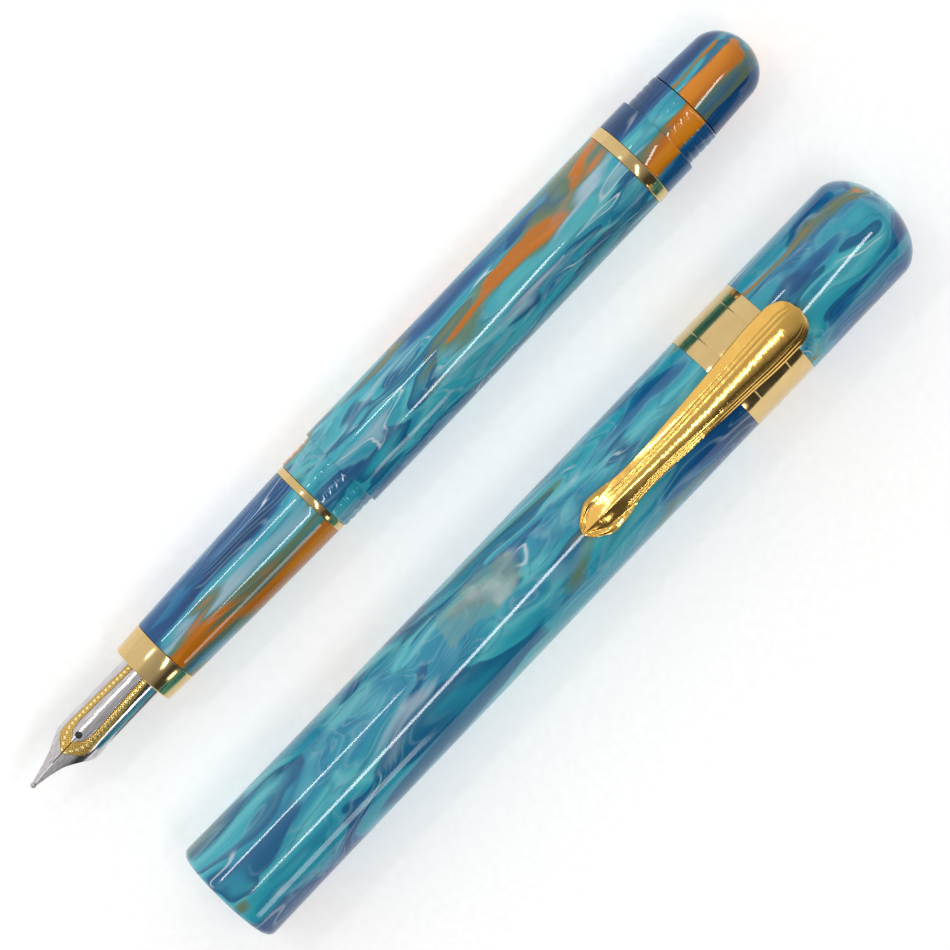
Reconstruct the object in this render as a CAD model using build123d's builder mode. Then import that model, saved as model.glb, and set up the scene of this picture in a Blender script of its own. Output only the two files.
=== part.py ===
from build123d import *
from math import cos, radians, sin
import os

# A piston-filling fountain pen lying beside its long screw cap, in millimetres.
# Both lie along X on the plane z = 0. The nib and the cap's mouth point to -X.
# The origin is at the middle of the footprint, on that plane.

os.makedirs("parts", exist_ok=True)

# Clearances
RUNNING = 0.05        # radial gap of a piece that turns or slides in another
PRESSED = 0.02        # radial gap left between pieces that are pressed or glued
SEAM = 0.10           # gap at the joint between the stock and the turning knob

# Lengths along the pen, from the nib's tip backwards
NIB_SHOWING = 19.9
NIB_INSERTED = 10.0
NOSE_RING_LENGTH = 4.3
GRIP_LENGTH = 26.0
SECTION_RING_LENGTH = 1.1
CAP_THREAD_LENGTH = 4.9
BARREL_LENGTH = 52.1
REAR_RING_LENGTH = 1.8
STOCK_SHOULDER_LENGTH = 4.4
POST_THREAD_LENGTH = 5.0
KNOB_BODY_LENGTH = 6.8
KNOB_DOME_LENGTH = 4.4

# Nib unit
NIB_RADIUS = 3.20
NIB_THICKNESS = 0.28
NIB_TIP_HEIGHT = 1.74
NIB_BEND_START = 9.5
NIB_ROLL = 9.0
NIB_POINT_HALF_WIDTH = 0.36
NIB_TINE_EDGE = [(2.8, 0.80), (4.8, 1.38)]
NIB_SHOULDER = [(6.8, -0.70), (8.3, 0), (9.4, 0.02), (13.0, -0.25)]
NIB_REAR_INSET = 0.40
NIB_HOLE_STATION = 9.1
NIB_HOLE_RADIUS = 0.475
NIB_SLIT = 0.12
TIPPING_RADIUS = 0.42
TIPPING_LENGTH = 0.756
FEED_TAIL = 5.0
FEED_FRONT = 4.2
FEED_FRONT_HALF_WIDTH = 0.40
FEED_SHOULDER_HALF_WIDTH = 2.30
FEED_SHOULDER_LENGTH = 3.0
FEED_FRONT_LEVEL = 1.44
FEED_BELLY_DEPTH = 3.04
FEED_BELLY_FROM_RING = 2.5
FEED_FIN_PITCH = 0.95
FEED_FIN_GAP = 0.35
FEED_FINS_FROM_RING = 1.0
FEED_SPINE_DEPTH = 0.64
HOUSING_WALL = 0.52
HOUSING_SPARE = 0.70

# Walls and steps that lead outwards from the nib to the outside of the pen
SPIGOT_WALL = 0.54
NOSE_RING_WALL = 0.28
NOSE_RING_FLARE = 0.20
NOSE_ROUNDING = 0.5
NOSE_LIP = 0.70
GRIP_MIDDLE_SWELL = 0.37
GRIP_REAR_SWELL = 0.63
SECTION_RING_PROUD = 0.03
SECTION_RING_ROUNDING = 0.15
CAP_THREAD_STEP = 0.16
BARREL_STEP = 0.43
BARREL_STEP_ROUNDING = 0.3
REAR_RING_PROUD = 0.10
REAR_RING_ROUNDING = 0.2
POST_THREAD_STEP = 0.55
KNOB_STEP = 0.15
KNOB_TAPER = 0.30

# Threads, drawn as rings
THREAD_PITCH = 1.15
THREAD_DEPTH = 0.25
THREAD_GROOVE = 0.50

# Tenon of the grip section
TENON_LENGTH = 10.3
TENON_WALL = 1.55
BARREL_NECK_WALL = 1.42
SEAL_SECTION_RADIUS = 0.40
SEAL_FROM_RING = 1.70

# Ink chamber and piston
BARREL_WALL = 1.65
PISTON_STROKE = 20.0
PISTON_GAP = 1.5
PISTON_HEAD_LENGTH = 5.0
PISTON_HEAD_ROOM = 0.25
PISTON_SEAL_SECTION = 0.45
PISTON_SEAL_INSET = 1.25
ROD_RADIUS = 3.00
ROD_FLAT = 2.50
ROD_IN_GUIDE = 3.5
ROD_SPIGOT_LENGTH = 2.5
SCREW_RADIUS = 1.90
SCREW_PITCH = 1.25
SCREW_DEPTH = 0.20
FLANGE_STEP = 0.60
FLANGE_LENGTH = 1.6
FLANGE_FROM_THREAD = 0.8
SPINDLE_TAIL_RADIUS = 1.60
SPINDLE_TAIL_LENGTH = 6.0
STOCK_SOCKET_WALL = 1.05
STOCK_TENON_LENGTH = 11.9
STOCK_WALL = 0.78

# Cap
CAP_SPACING = 27.0
CAP_MOUTH_OFFSET = 7.1
NIB_PAST_TUBE = 18.8
BAND_LENGTH = 10.1
CROWN_BODY_LENGTH = 16.6
CROWN_DOME_LENGTH = 5.0
CAP_ROOM = 0.20
CAP_WALL = 1.20
CAP_LIP_FLARE = 0.15
CAP_LIP_TAPER = 24.0
CAP_LIP_ROUNDING = 1.0
BAND_PROUD = 0.05
BAND_GROOVE_INSET = 2.4
BAND_GROOVE_WIDTH = 0.25
BAND_GROOVE_DEPTH = 0.12
CROWN_PROUD = 0.10
CROWN_TENON_WALL = 0.55
CROWN_TENON_DEPTH = 6.0
SLEEVE_LENGTH = 8.0
THREAD_ENGAGEMENT = 0.11
CAP_GRIP_ROOM = 0.19
INNER_CAP_ROOM = 0.25
INNER_CAP_WALL = 0.90
INNER_CAP_LEAD = 5.0
NIB_ROOM = 2.2

# Clip
CLIP_ROLL = 6.0
CLIP_TIP_FROM_BAND = 25.4
CLIP_HEAD_FROM_TIP = 3.5
CLIP_HEAD_LENGTH = 10.1
CLIP_POINT_LENGTH = 0.7
CLIP_END_PAST_BAND = 3.45
CLIP_END_ROUNDING = 3.4
CLIP_END_HALF_WIDTH = 3.30
CLIP_SHAFT_NARROWING = 0.50
CLIP_WAIST_HALF_WIDTH = 2.02
CLIP_HEAD_HALF_WIDTH = 2.72
CLIP_POINT_HALF_WIDTH = 1.22
CLIP_TOP = 3.05
CLIP_SHAFT_DROP = 0.45
CLIP_SHAFT_RISE_LENGTH = 10.0
CLIP_END_FALL = 0.25
CLIP_END_FALL_LENGTH = 2.5
CLIP_END_DROP = 1.10
CLIP_END_LIFT = 0.65
CLIP_WAIST_TOP = 1.65
CLIP_HEAD_TOP = 1.35
CLIP_TIP_TOP = 0.55
CLIP_TIP_FLOOR = 0.30
CLIP_WAIST_FLOOR = 0.75
CLIP_SHAFT_LIFT = 0.35
CLIP_UNDERSIDE = 0.75
CLIP_FLAT_HALF_LENGTH = 3.0
CLIP_CONTACT_FROM_TIP = 2.6
CLIP_CONTACT_LENGTH = 1.2
CLIP_STOP_GAP = 0.10
CLIP_POST_ROOM = 0.45
CLIP_POST_HEADROOM = 0.20
CLIP_POST_SIDE_ROOM = 0.15
PIN_HEIGHT = 1.35
PIN_RADIUS = 0.55
PIN_LENGTH = 4.4
POST_WIDTH = 1.6
POST_TOP_RADIUS = 0.95
SPRING_WIDTH = 2.2
SPRING_THICKNESS = 0.22
SPRING_FROM_POST = 0.4
SPRING_SET_BACK = 0.8

# Radii of the pen, each from the one it fits on or stands over
housing_bore = NIB_RADIUS + PRESSED
housing_radius = housing_bore + HOUSING_WALL
spigot_radius = housing_radius + PRESSED + SPIGOT_WALL
nose_front_radius = spigot_radius + PRESSED + NOSE_RING_WALL
grip_front_radius = nose_front_radius + NOSE_RING_FLARE
grip_middle_radius = grip_front_radius + GRIP_MIDDLE_SWELL
grip_rear_radius = grip_front_radius + GRIP_REAR_SWELL
section_ring_radius = grip_rear_radius + SECTION_RING_PROUD
cap_thread_radius = section_ring_radius + CAP_THREAD_STEP
barrel_radius = cap_thread_radius + BARREL_STEP
rear_ring_radius = barrel_radius + REAR_RING_PROUD
post_thread_radius = barrel_radius - POST_THREAD_STEP
knob_front_radius = post_thread_radius - KNOB_STEP
knob_rear_radius = knob_front_radius - KNOB_TAPER
tenon_bore = cap_thread_radius - BARREL_NECK_WALL
tenon_radius = tenon_bore - RUNNING
ink_passage_radius = tenon_radius - TENON_WALL
chamber_radius = barrel_radius - BARREL_WALL
piston_head_radius = chamber_radius - PISTON_HEAD_ROOM
rod_spigot_radius = ROD_FLAT - PRESSED
stock_bore = barrel_radius - STOCK_SOCKET_WALL
stock_tenon_radius = stock_bore - PRESSED
guide_bore = stock_tenon_radius - STOCK_WALL
flange_radius = guide_bore - FLANGE_STEP

# Radii of the cap, which goes over the pen
cap_bore_radius = rear_ring_radius + CAP_ROOM
cap_radius = cap_bore_radius + CAP_WALL
cap_lip_radius = cap_radius + CAP_LIP_FLARE
band_radius = cap_radius + BAND_PROUD
crown_radius = cap_radius + CROWN_PROUD
sleeve_crest_radius = cap_thread_radius - THREAD_ENGAGEMENT
cap_inner_radius = section_ring_radius + CAP_GRIP_ROOM
inner_cap_bore = grip_front_radius + INNER_CAP_ROOM
inner_cap_radius = inner_cap_bore + INNER_CAP_WALL
crown_tenon_radius = inner_cap_radius + CROWN_TENON_WALL

# Stations along the pen, counted from the nib's tip
nose_end = NIB_SHOWING + NOSE_RING_LENGTH
grip_end = nose_end + GRIP_LENGTH
thread_start = grip_end + SECTION_RING_LENGTH
barrel_start = thread_start + CAP_THREAD_LENGTH
barrel_end = barrel_start + BARREL_LENGTH
stock_start = barrel_end + REAR_RING_LENGTH
post_start = stock_start + STOCK_SHOULDER_LENGTH
stock_end = post_start + POST_THREAD_LENGTH
knob_start = stock_end + SEAM
knob_dome = stock_end + KNOB_BODY_LENGTH
pen_length = knob_dome + KNOB_DOME_LENGTH
tenon_end = grip_end + TENON_LENGTH

# Stations along the cap, counted from its mouth; it closes until the mouth meets the rear ring
nib_reach = barrel_end
band_start = nib_reach - NIB_PAST_TUBE
band_end = band_start + BAND_LENGTH
crown_dome = band_end + CROWN_BODY_LENGTH
cap_length = crown_dome + CROWN_DOME_LENGTH
sleeve_start = BARREL_LENGTH
sleeve_end = sleeve_start + SLEEVE_LENGTH

# Places and planes: on each side plane x runs along the pen and y is the height over its axis
middle_x = (max(pen_length, CAP_MOUTH_OFFSET + cap_length) + min(0, CAP_MOUTH_OFFSET)) / 2
pen_y = (CAP_SPACING + cap_lip_radius - rear_ring_radius) / 2
pen_origin = (-middle_x, pen_y, rear_ring_radius)
cap_origin = (CAP_MOUTH_OFFSET - middle_x, pen_y - CAP_SPACING, cap_lip_radius)
pen_axis = Axis(pen_origin, (1, 0, 0))
cap_axis = Axis(cap_origin, (1, 0, 0))
pen_side = Plane(origin=pen_origin, x_dir=(1, 0, 0), z_dir=(0, -1, 0))
cap_side = Plane(origin=cap_origin, x_dir=(1, 0, 0), z_dir=(0, -1, 0))
nib_sine = sin(radians(NIB_ROLL))
nib_cosine = cos(radians(NIB_ROLL))
nib_side = Plane(origin=pen_origin, x_dir=(1, 0, 0), z_dir=(0, -nib_cosine, nib_sine))
nib_plan = Plane(origin=pen_origin, x_dir=(1, 0, 0), z_dir=(0, nib_sine, nib_cosine))
clip_sine = sin(radians(CLIP_ROLL))
clip_cosine = cos(radians(CLIP_ROLL))
clip_side = Plane(origin=cap_origin, x_dir=(1, 0, 0), z_dir=(0, -clip_cosine, -clip_sine))
clip_plan = Plane(origin=cap_origin, x_dir=(1, 0, 0), z_dir=(0, -clip_sine, clip_cosine))
pen_section = Plane(origin=pen_origin, x_dir=(0, 1, 0), z_dir=(1, 0, 0))


def thread_grooves(start, length, radius):
    """Places of the grooves' middles, on a side plane, along a thread of this length."""
    count = int((length - THREAD_GROOVE) / THREAD_PITCH)
    first = start + (length - (count - 1) * THREAD_PITCH) / 2
    return [(first + i * THREAD_PITCH, radius) for i in range(count)]


# Barrel: turned resin tube with the cap's thread on its front and the ink chamber inside
stock_bore_start = stock_start - STOCK_TENON_LENGTH
with BuildPart() as barrel:
    with BuildSketch(pen_side):
        with BuildLine():
            Polyline(
                (thread_start, tenon_bore),
                (thread_start, cap_thread_radius),
                (barrel_start, cap_thread_radius),
                (barrel_start, barrel_radius),
                (barrel_end, barrel_radius),
                (barrel_end, stock_bore),
                (stock_bore_start, stock_bore),
                (stock_bore_start, chamber_radius),
                (tenon_end, chamber_radius),
                (tenon_end, tenon_bore),
                close=True,
            )
        make_face()
    revolve(axis=pen_axis)
    with BuildSketch(pen_side):
        with Locations(*thread_grooves(thread_start, CAP_THREAD_LENGTH, cap_thread_radius)):
            Rectangle(THREAD_GROOVE, 2 * THREAD_DEPTH)
    revolve(axis=pen_axis, mode=Mode.SUBTRACT)
    outer_edges = barrel.edges().filter_by(GeomType.CIRCLE).group_by(SortBy.RADIUS)[-1]
    fillet(outer_edges.sort_by(Axis.X)[0], BARREL_STEP_ROUNDING)
barrel.part.label = "barrel"
export_step(barrel.part, "parts/barrel.step")

# Rear ring: polished ring held between the barrel and the piston stock
with BuildPart() as rear_ring:
    with BuildSketch(pen_side):
        with BuildLine():
            Polyline(
                (barrel_end, stock_bore),
                (barrel_end, rear_ring_radius),
                (stock_start, rear_ring_radius),
                (stock_start, stock_bore),
                close=True,
            )
        make_face()
    revolve(axis=pen_axis)
    fillet(rear_ring.edges().group_by(SortBy.LENGTH)[-1], REAR_RING_ROUNDING)
rear_ring.part.label = "rear_ring"
export_step(rear_ring.part, "parts/rear_ring.step")

# Piston stock: resin piece glued into the barrel's rear, with the thread that takes a posted cap.
# The spindle's flange turns between its inner shoulder and the rod guide.
flange_end = post_start - FLANGE_FROM_THREAD
flange_start = flange_end - FLANGE_LENGTH - RUNNING
shank_bore = SCREW_RADIUS + RUNNING
with BuildPart() as piston_stock:
    with BuildSketch(pen_side):
        with BuildLine():
            Polyline(
                (stock_bore_start, guide_bore),
                (stock_bore_start, stock_tenon_radius),
                (stock_start, stock_tenon_radius),
                (stock_start, barrel_radius),
                (post_start, barrel_radius),
                (post_start, post_thread_radius),
                (stock_end, post_thread_radius),
                (stock_end, shank_bore),
                (flange_end, shank_bore),
                (flange_end, flange_radius + RUNNING),
                (flange_start, flange_radius + RUNNING),
                (flange_start, guide_bore),
                close=True,
            )
        make_face()
    revolve(axis=pen_axis)
    with BuildSketch(pen_side):
        with Locations(*thread_grooves(post_start, POST_THREAD_LENGTH, post_thread_radius)):
            Rectangle(THREAD_GROOVE, 2 * THREAD_DEPTH)
    revolve(axis=pen_axis, mode=Mode.SUBTRACT)
piston_stock.part.label = "piston_stock"
export_step(piston_stock.part, "parts/piston_stock.step")

# Stations of the piston: at rest it stands just behind the section's tenon
piston_front = tenon_end + PISTON_GAP
piston_rear = piston_front + PISTON_HEAD_LENGTH
guide_start = piston_rear + PISTON_STROKE + PISTON_GAP / 2
rod_end = guide_start + ROD_IN_GUIDE

# Rod guide: bush in the stock whose flat-sided mouth keeps the piston rod from turning
with BuildPart() as rod_guide:
    with BuildSketch(pen_side):
        with BuildLine():
            Polyline(
                (guide_start, 0),
                (guide_start, guide_bore - PRESSED),
                (flange_start, guide_bore - PRESSED),
                (flange_start, ROD_RADIUS + RUNNING),
                (rod_end, ROD_RADIUS + RUNNING),
                (rod_end, 0),
                close=True,
            )
        make_face()
    revolve(axis=pen_axis)
    with BuildSketch(pen_section.offset(guide_start)):
        Circle(ROD_RADIUS + RUNNING)
        Rectangle(2 * (ROD_FLAT + RUNNING), 4 * ROD_RADIUS, mode=Mode.INTERSECT)
    extrude(amount=ROD_IN_GUIDE, mode=Mode.SUBTRACT)
rod_guide.part.label = "rod_guide"
export_step(rod_guide.part, "parts/rod_guide.step")

# Drive spindle: brass screw with a thrust flange; its tail is pressed into the knob
bore_end = piston_rear + PISTON_GAP / 2
screw_start = bore_end + PISTON_STROKE + PISTON_GAP / 4
tail_end = stock_end + SPINDLE_TAIL_LENGTH
screw_grooves = int((flange_start - screw_start) / SCREW_PITCH)
with BuildPart() as drive_spindle:
    with BuildSketch(pen_side):
        with BuildLine():
            Polyline(
                (screw_start, 0),
                (screw_start, SCREW_RADIUS),
                (flange_start + RUNNING, SCREW_RADIUS),
                (flange_start + RUNNING, flange_radius),
                (flange_end, flange_radius),
                (flange_end, SCREW_RADIUS),
                (knob_start, SCREW_RADIUS),
                (knob_start, SPINDLE_TAIL_RADIUS),
                (tail_end, SPINDLE_TAIL_RADIUS),
                (tail_end, 0),
                close=True,
            )
        make_face()
    revolve(axis=pen_axis)
    with BuildSketch(pen_side):
        with Locations(
            *[(screw_start + (i + 0.5) * SCREW_PITCH, SCREW_RADIUS) for i in range(screw_grooves)]
        ):
            Rectangle(SCREW_PITCH / 2, 2 * SCREW_DEPTH)
    revolve(axis=pen_axis, mode=Mode.SUBTRACT)
drive_spindle.part.label = "drive_spindle"
export_step(drive_spindle.part, "parts/drive_spindle.step")

# Piston knob: domed resin knob that turns the spindle
with BuildPart() as piston_knob:
    with BuildSketch(pen_side):
        with BuildLine():
            Polyline(
                (pen_length, 0),
                (tail_end + PRESSED, 0),
                (tail_end + PRESSED, SPINDLE_TAIL_RADIUS + PRESSED),
                (knob_start, SPINDLE_TAIL_RADIUS + PRESSED),
                (knob_start, knob_front_radius),
                (knob_dome, knob_rear_radius),
            )
            EllipticalCenterArc(
                (knob_dome, 0), KNOB_DOME_LENGTH, knob_rear_radius, start_angle=0, arc_size=90
            )
        make_face()
    revolve(axis=pen_axis)
piston_knob.part.label = "piston_knob"
export_step(piston_knob.part, "parts/piston_knob.step")

# Piston rod: flat-sided sleeve with the screw's thread inside
with BuildPart() as piston_rod:
    with BuildSketch(pen_section.offset(piston_rear)):
        Circle(ROD_RADIUS)
        Rectangle(2 * ROD_FLAT, 4 * ROD_RADIUS, mode=Mode.INTERSECT)
    extrude(amount=rod_end - piston_rear)
    with BuildSketch(pen_section.offset(bore_end)):
        Circle(SCREW_RADIUS + RUNNING)
    extrude(amount=rod_end - bore_end, mode=Mode.SUBTRACT)
    with BuildSketch(pen_section.offset(piston_rear)):
        Circle(rod_spigot_radius)
    extrude(amount=-ROD_SPIGOT_LENGTH)
piston_rod.part.label = "piston_rod"
export_step(piston_rod.part, "parts/piston_rod.step")

# Piston head: plug with two grooves for its seals
seal_orbit = chamber_radius - RUNNING - PISTON_SEAL_SECTION
seal_groove_floor = seal_orbit - PISTON_SEAL_SECTION - PRESSED
seal_stations = [piston_front + PISTON_SEAL_INSET, piston_rear - PISTON_SEAL_INSET]
with BuildPart() as piston_head:
    with BuildSketch(pen_side):
        with BuildLine():
            Polyline(
                (piston_front, 0),
                (piston_front, piston_head_radius),
                (piston_rear, piston_head_radius),
                (piston_rear, rod_spigot_radius + PRESSED),
                (piston_rear - ROD_SPIGOT_LENGTH, rod_spigot_radius + PRESSED),
                (piston_rear - ROD_SPIGOT_LENGTH, 0),
                close=True,
            )
        make_face()
    revolve(axis=pen_axis)
    with BuildSketch(pen_side):
        with Locations(*[(station, piston_head_radius) for station in seal_stations]):
            Rectangle(
                2 * (PISTON_SEAL_SECTION + PRESSED), 2 * (piston_head_radius - seal_groove_floor)
            )
    revolve(axis=pen_axis, mode=Mode.SUBTRACT)
piston_head.part.label = "piston_head"
export_step(piston_head.part, "parts/piston_head.step")


def o_ring(station, orbit, section_radius):
    """A rubber ring round the pen's axis."""
    with BuildPart() as ring:
        with BuildSketch(pen_side):
            with Locations((station, orbit)):
                Circle(section_radius)
        revolve(axis=pen_axis)
    return ring.part


# Piston seals: two rubber rings that wipe the ink chamber
for side, station in zip(("front", "rear"), seal_stations):
    piston_seal = o_ring(station, seal_orbit, PISTON_SEAL_SECTION)
    piston_seal.label = f"piston_seal_{side}"
    export_step(piston_seal, f"parts/piston_seal_{side}.step")

# Section ring: thin polished ring trapped between the grip and the barrel
with BuildPart() as section_ring:
    with BuildSketch(pen_side):
        with BuildLine():
            Polyline(
                (grip_end, tenon_radius + RUNNING),
                (grip_end, section_ring_radius),
                (thread_start, section_ring_radius),
                (thread_start, tenon_radius + RUNNING),
                close=True,
            )
        make_face()
    revolve(axis=pen_axis)
    fillet(section_ring.edges().group_by(SortBy.LENGTH)[-1], SECTION_RING_ROUNDING)
section_ring.part.label = "section_ring"
export_step(section_ring.part, "parts/section_ring.step")

# Section seal: rubber ring on the grip's tenon that keeps ink in the barrel
tenon_seal_station = thread_start + SEAL_FROM_RING
tenon_seal_orbit = tenon_radius - SEAL_SECTION_RADIUS
section_seal = o_ring(tenon_seal_station, tenon_seal_orbit, SEAL_SECTION_RADIUS)
section_seal.label = "section_seal"
export_step(section_seal, "parts/section_seal.step")

# Grip section: convex resin grip with a spigot for the nose ring and a tenon for the barrel
nib_end = NIB_SHOWING + NIB_INSERTED
feed_end = nib_end + FEED_TAIL
spigot_start = NIB_SHOWING + NOSE_LIP
housing_end = feed_end + HOUSING_SPARE
with BuildPart() as grip_section:
    with BuildSketch(pen_side):
        with BuildLine():
            Polyline(
                (grip_end, grip_rear_radius),
                (grip_end, tenon_radius),
                (tenon_end, tenon_radius),
                (tenon_end, ink_passage_radius),
                (housing_end, ink_passage_radius),
                (housing_end, housing_radius + PRESSED),
                (spigot_start, housing_radius + PRESSED),
                (spigot_start, spigot_radius),
                (nose_end, spigot_radius),
                (nose_end, grip_front_radius),
            )
            ThreePointArc(
                (nose_end, grip_front_radius),
                (nose_end + GRIP_LENGTH / 2, grip_middle_radius),
                (grip_end, grip_rear_radius),
            )
        make_face()
    revolve(axis=pen_axis)
    with BuildSketch(pen_side):
        with Locations((tenon_seal_station, tenon_radius)):
            Rectangle(
                2 * (SEAL_SECTION_RADIUS + RUNNING), 2 * (2 * SEAL_SECTION_RADIUS + RUNNING)
            )
    revolve(axis=pen_axis, mode=Mode.SUBTRACT)
grip_section.part.label = "grip_section"
export_step(grip_section.part, "parts/grip_section.step")

# Nose ring: polished sleeve on the grip's front, with a lip round the nib
with BuildPart() as nose_ring:
    with BuildSketch(pen_side):
        with BuildLine():
            Polyline(
                (NIB_SHOWING, NIB_RADIUS + NIB_THICKNESS),
                (NIB_SHOWING, nose_front_radius),
                (nose_end, grip_front_radius),
                (nose_end, spigot_radius + PRESSED),
                (spigot_start, spigot_radius + PRESSED),
                (spigot_start, NIB_RADIUS + NIB_THICKNESS),
                close=True,
            )
        make_face()
    revolve(axis=pen_axis)
    front_edges = nose_ring.edges().filter_by(GeomType.CIRCLE).group_by(Axis.X)[0]
    fillet(front_edges.sort_by(SortBy.RADIUS)[-1], NOSE_ROUNDING)
nose_ring.part.label = "nose_ring"
export_step(nose_ring.part, "parts/nose_ring.step")

# Nib housing: plastic tube in the grip that clamps the nib and its feed
with BuildPart() as nib_housing:
    with BuildSketch(pen_side):
        with BuildLine():
            Polyline(
                (spigot_start, housing_bore),
                (spigot_start, housing_radius),
                (housing_end, housing_radius),
                (housing_end, housing_bore),
                close=True,
            )
        make_face()
    revolve(axis=pen_axis)
nib_housing.part.label = "nib_housing"
export_step(nib_housing.part, "parts/nib_housing.step")

# Nib: thin steel sheet curled round the feed, its spine bending down to the tip
nib_start = TIPPING_LENGTH
bend_drop = NIB_RADIUS - NIB_TIP_HEIGHT
bend_radius = (NIB_BEND_START**2 + bend_drop**2) / (2 * bend_drop)


def nib_height(station):
    """Height of the nib's upper face over the pen's axis, along the spine."""
    ahead = max(0, NIB_BEND_START - station)
    return NIB_RADIUS - bend_radius + (bend_radius**2 - ahead**2) ** 0.5


def nib_shell(start, end, above, below):
    """Side outline of a layer that runs along the spine, between two depths under its face."""
    bend_middle = (start + NIB_BEND_START) / 2
    with BuildSketch(pen_side) as layer:
        with BuildLine():
            ThreePointArc(
                (start, nib_height(start) - above),
                (bend_middle, nib_height(bend_middle) - above),
                (NIB_BEND_START, NIB_RADIUS - above),
            )
            Polyline(
                (NIB_BEND_START, NIB_RADIUS - above),
                (end, NIB_RADIUS - above),
                (end, max(0, NIB_RADIUS - below)),
            )
            if below < NIB_RADIUS:
                Line((end, NIB_RADIUS - below), (NIB_BEND_START, NIB_RADIUS - below))
                ThreePointArc(
                    (NIB_BEND_START, NIB_RADIUS - below),
                    (bend_middle, nib_height(bend_middle) - below),
                    (start, nib_height(start) - below),
                )
            else:
                Line((end, 0), (start, 0))
            Line((start, max(0, nib_height(start) - below)), (start, nib_height(start) - above))
        make_face()
    return layer.sketch


nib_shoulder = [(station, NIB_RADIUS + swell) for station, swell in NIB_SHOULDER]
nib_rear_half_width = NIB_RADIUS - NIB_REAR_INSET
with BuildPart() as nib:
    add(nib_shell(nib_start, nib_end, 0, NIB_THICKNESS))
    revolve(axis=pen_axis)
    with BuildSketch(nib_plan):
        with BuildLine():
            Spline((nib_start, NIB_POINT_HALF_WIDTH), *NIB_TINE_EDGE, *nib_shoulder[:2])
            Spline(*nib_shoulder[1:], (nib_end, nib_rear_half_width))
            Line((nib_end, nib_rear_half_width), (nib_end, 0))
            Line((nib_end, 0), (nib_start, 0))
            Line((nib_start, 0), (nib_start, NIB_POINT_HALF_WIDTH))
        make_face()
        mirror(about=Plane.XZ)
    extrude(amount=2 * NIB_RADIUS, mode=Mode.INTERSECT)
    with BuildSketch(nib_plan):
        with Locations((NIB_HOLE_STATION, 0)):
            Circle(NIB_HOLE_RADIUS)
        with Locations((NIB_HOLE_STATION / 2, 0)):
            Rectangle(NIB_HOLE_STATION, NIB_SLIT)
    extrude(amount=2 * NIB_RADIUS, mode=Mode.SUBTRACT)
nib.part.label = "nib"
export_step(nib.part, "parts/nib.step")

# Tipping: hard pellet welded to the nib's point
tip_height = nib_height(nib_start) - NIB_THICKNESS / 2
with BuildPart() as nib_tipping:
    with BuildSketch(nib_side):
        with BuildLine():
            reach = nib_start - TIPPING_RADIUS
            rise = (TIPPING_RADIUS**2 - reach**2) ** 0.5
            ThreePointArc(
                (0, tip_height),
                (TIPPING_RADIUS, tip_height + TIPPING_RADIUS),
                (nib_start, tip_height + rise),
            )
            Line((nib_start, tip_height + rise), (nib_start, tip_height))
            Line((nib_start, tip_height), (0, tip_height))
        make_face()
    revolve(axis=Axis(nib_side.from_local_coords((0, tip_height, 0)), (1, 0, 0)))
nib_tipping.part.label = "nib_tipping"
export_step(nib_tipping.part, "parts/nib_tipping.step")

# Feed: moulded ink channel under the nib, with a comb of fins below
feed_top = NIB_THICKNESS + PRESSED
fin_start = NIB_HOLE_STATION
fin_end = NIB_SHOWING - FEED_FINS_FROM_RING
fin_count = int((fin_end - fin_start) / FEED_FIN_PITCH)
feed_belly = NIB_SHOWING - FEED_BELLY_FROM_RING
feed_shoulder_end = fin_start + FEED_SHOULDER_LENGTH
with BuildPart() as feed:
    add(nib_shell(FEED_FRONT, feed_end, feed_top, 2 * NIB_RADIUS))
    revolve(axis=pen_axis)
    with BuildSketch(nib_side):
        with BuildLine():
            Polyline(
                (FEED_FRONT, 2 * NIB_RADIUS),
                (feed_end, 2 * NIB_RADIUS),
                (feed_end, -2 * NIB_RADIUS),
                (feed_belly, -2 * NIB_RADIUS),
                (feed_belly, -FEED_BELLY_DEPTH),
                (FEED_FRONT, FEED_FRONT_LEVEL),
                close=True,
            )
        make_face()
    extrude(amount=2 * NIB_RADIUS, both=True, mode=Mode.INTERSECT)
    with BuildSketch(nib_plan):
        with BuildLine():
            Polyline(
                (FEED_FRONT, FEED_FRONT_HALF_WIDTH),
                (fin_start, FEED_SHOULDER_HALF_WIDTH),
                (feed_shoulder_end, NIB_RADIUS),
                (feed_end, NIB_RADIUS),
                (feed_end, -NIB_RADIUS),
                (feed_shoulder_end, -NIB_RADIUS),
                (fin_start, -FEED_SHOULDER_HALF_WIDTH),
                (FEED_FRONT, -FEED_FRONT_HALF_WIDTH),
                close=True,
            )
        make_face()
    extrude(amount=2 * NIB_RADIUS, both=True, mode=Mode.INTERSECT)
    with BuildSketch(nib_side):
        with Locations(
            *[(fin_start + i * FEED_FIN_PITCH, -NIB_RADIUS - FEED_SPINE_DEPTH) for i in range(fin_count)]
        ):
            Rectangle(FEED_FIN_GAP, 2 * NIB_RADIUS)
    extrude(amount=2 * NIB_RADIUS, both=True, mode=Mode.SUBTRACT)
feed.part.label = "feed"
export_step(feed.part, "parts/feed.step")

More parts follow.
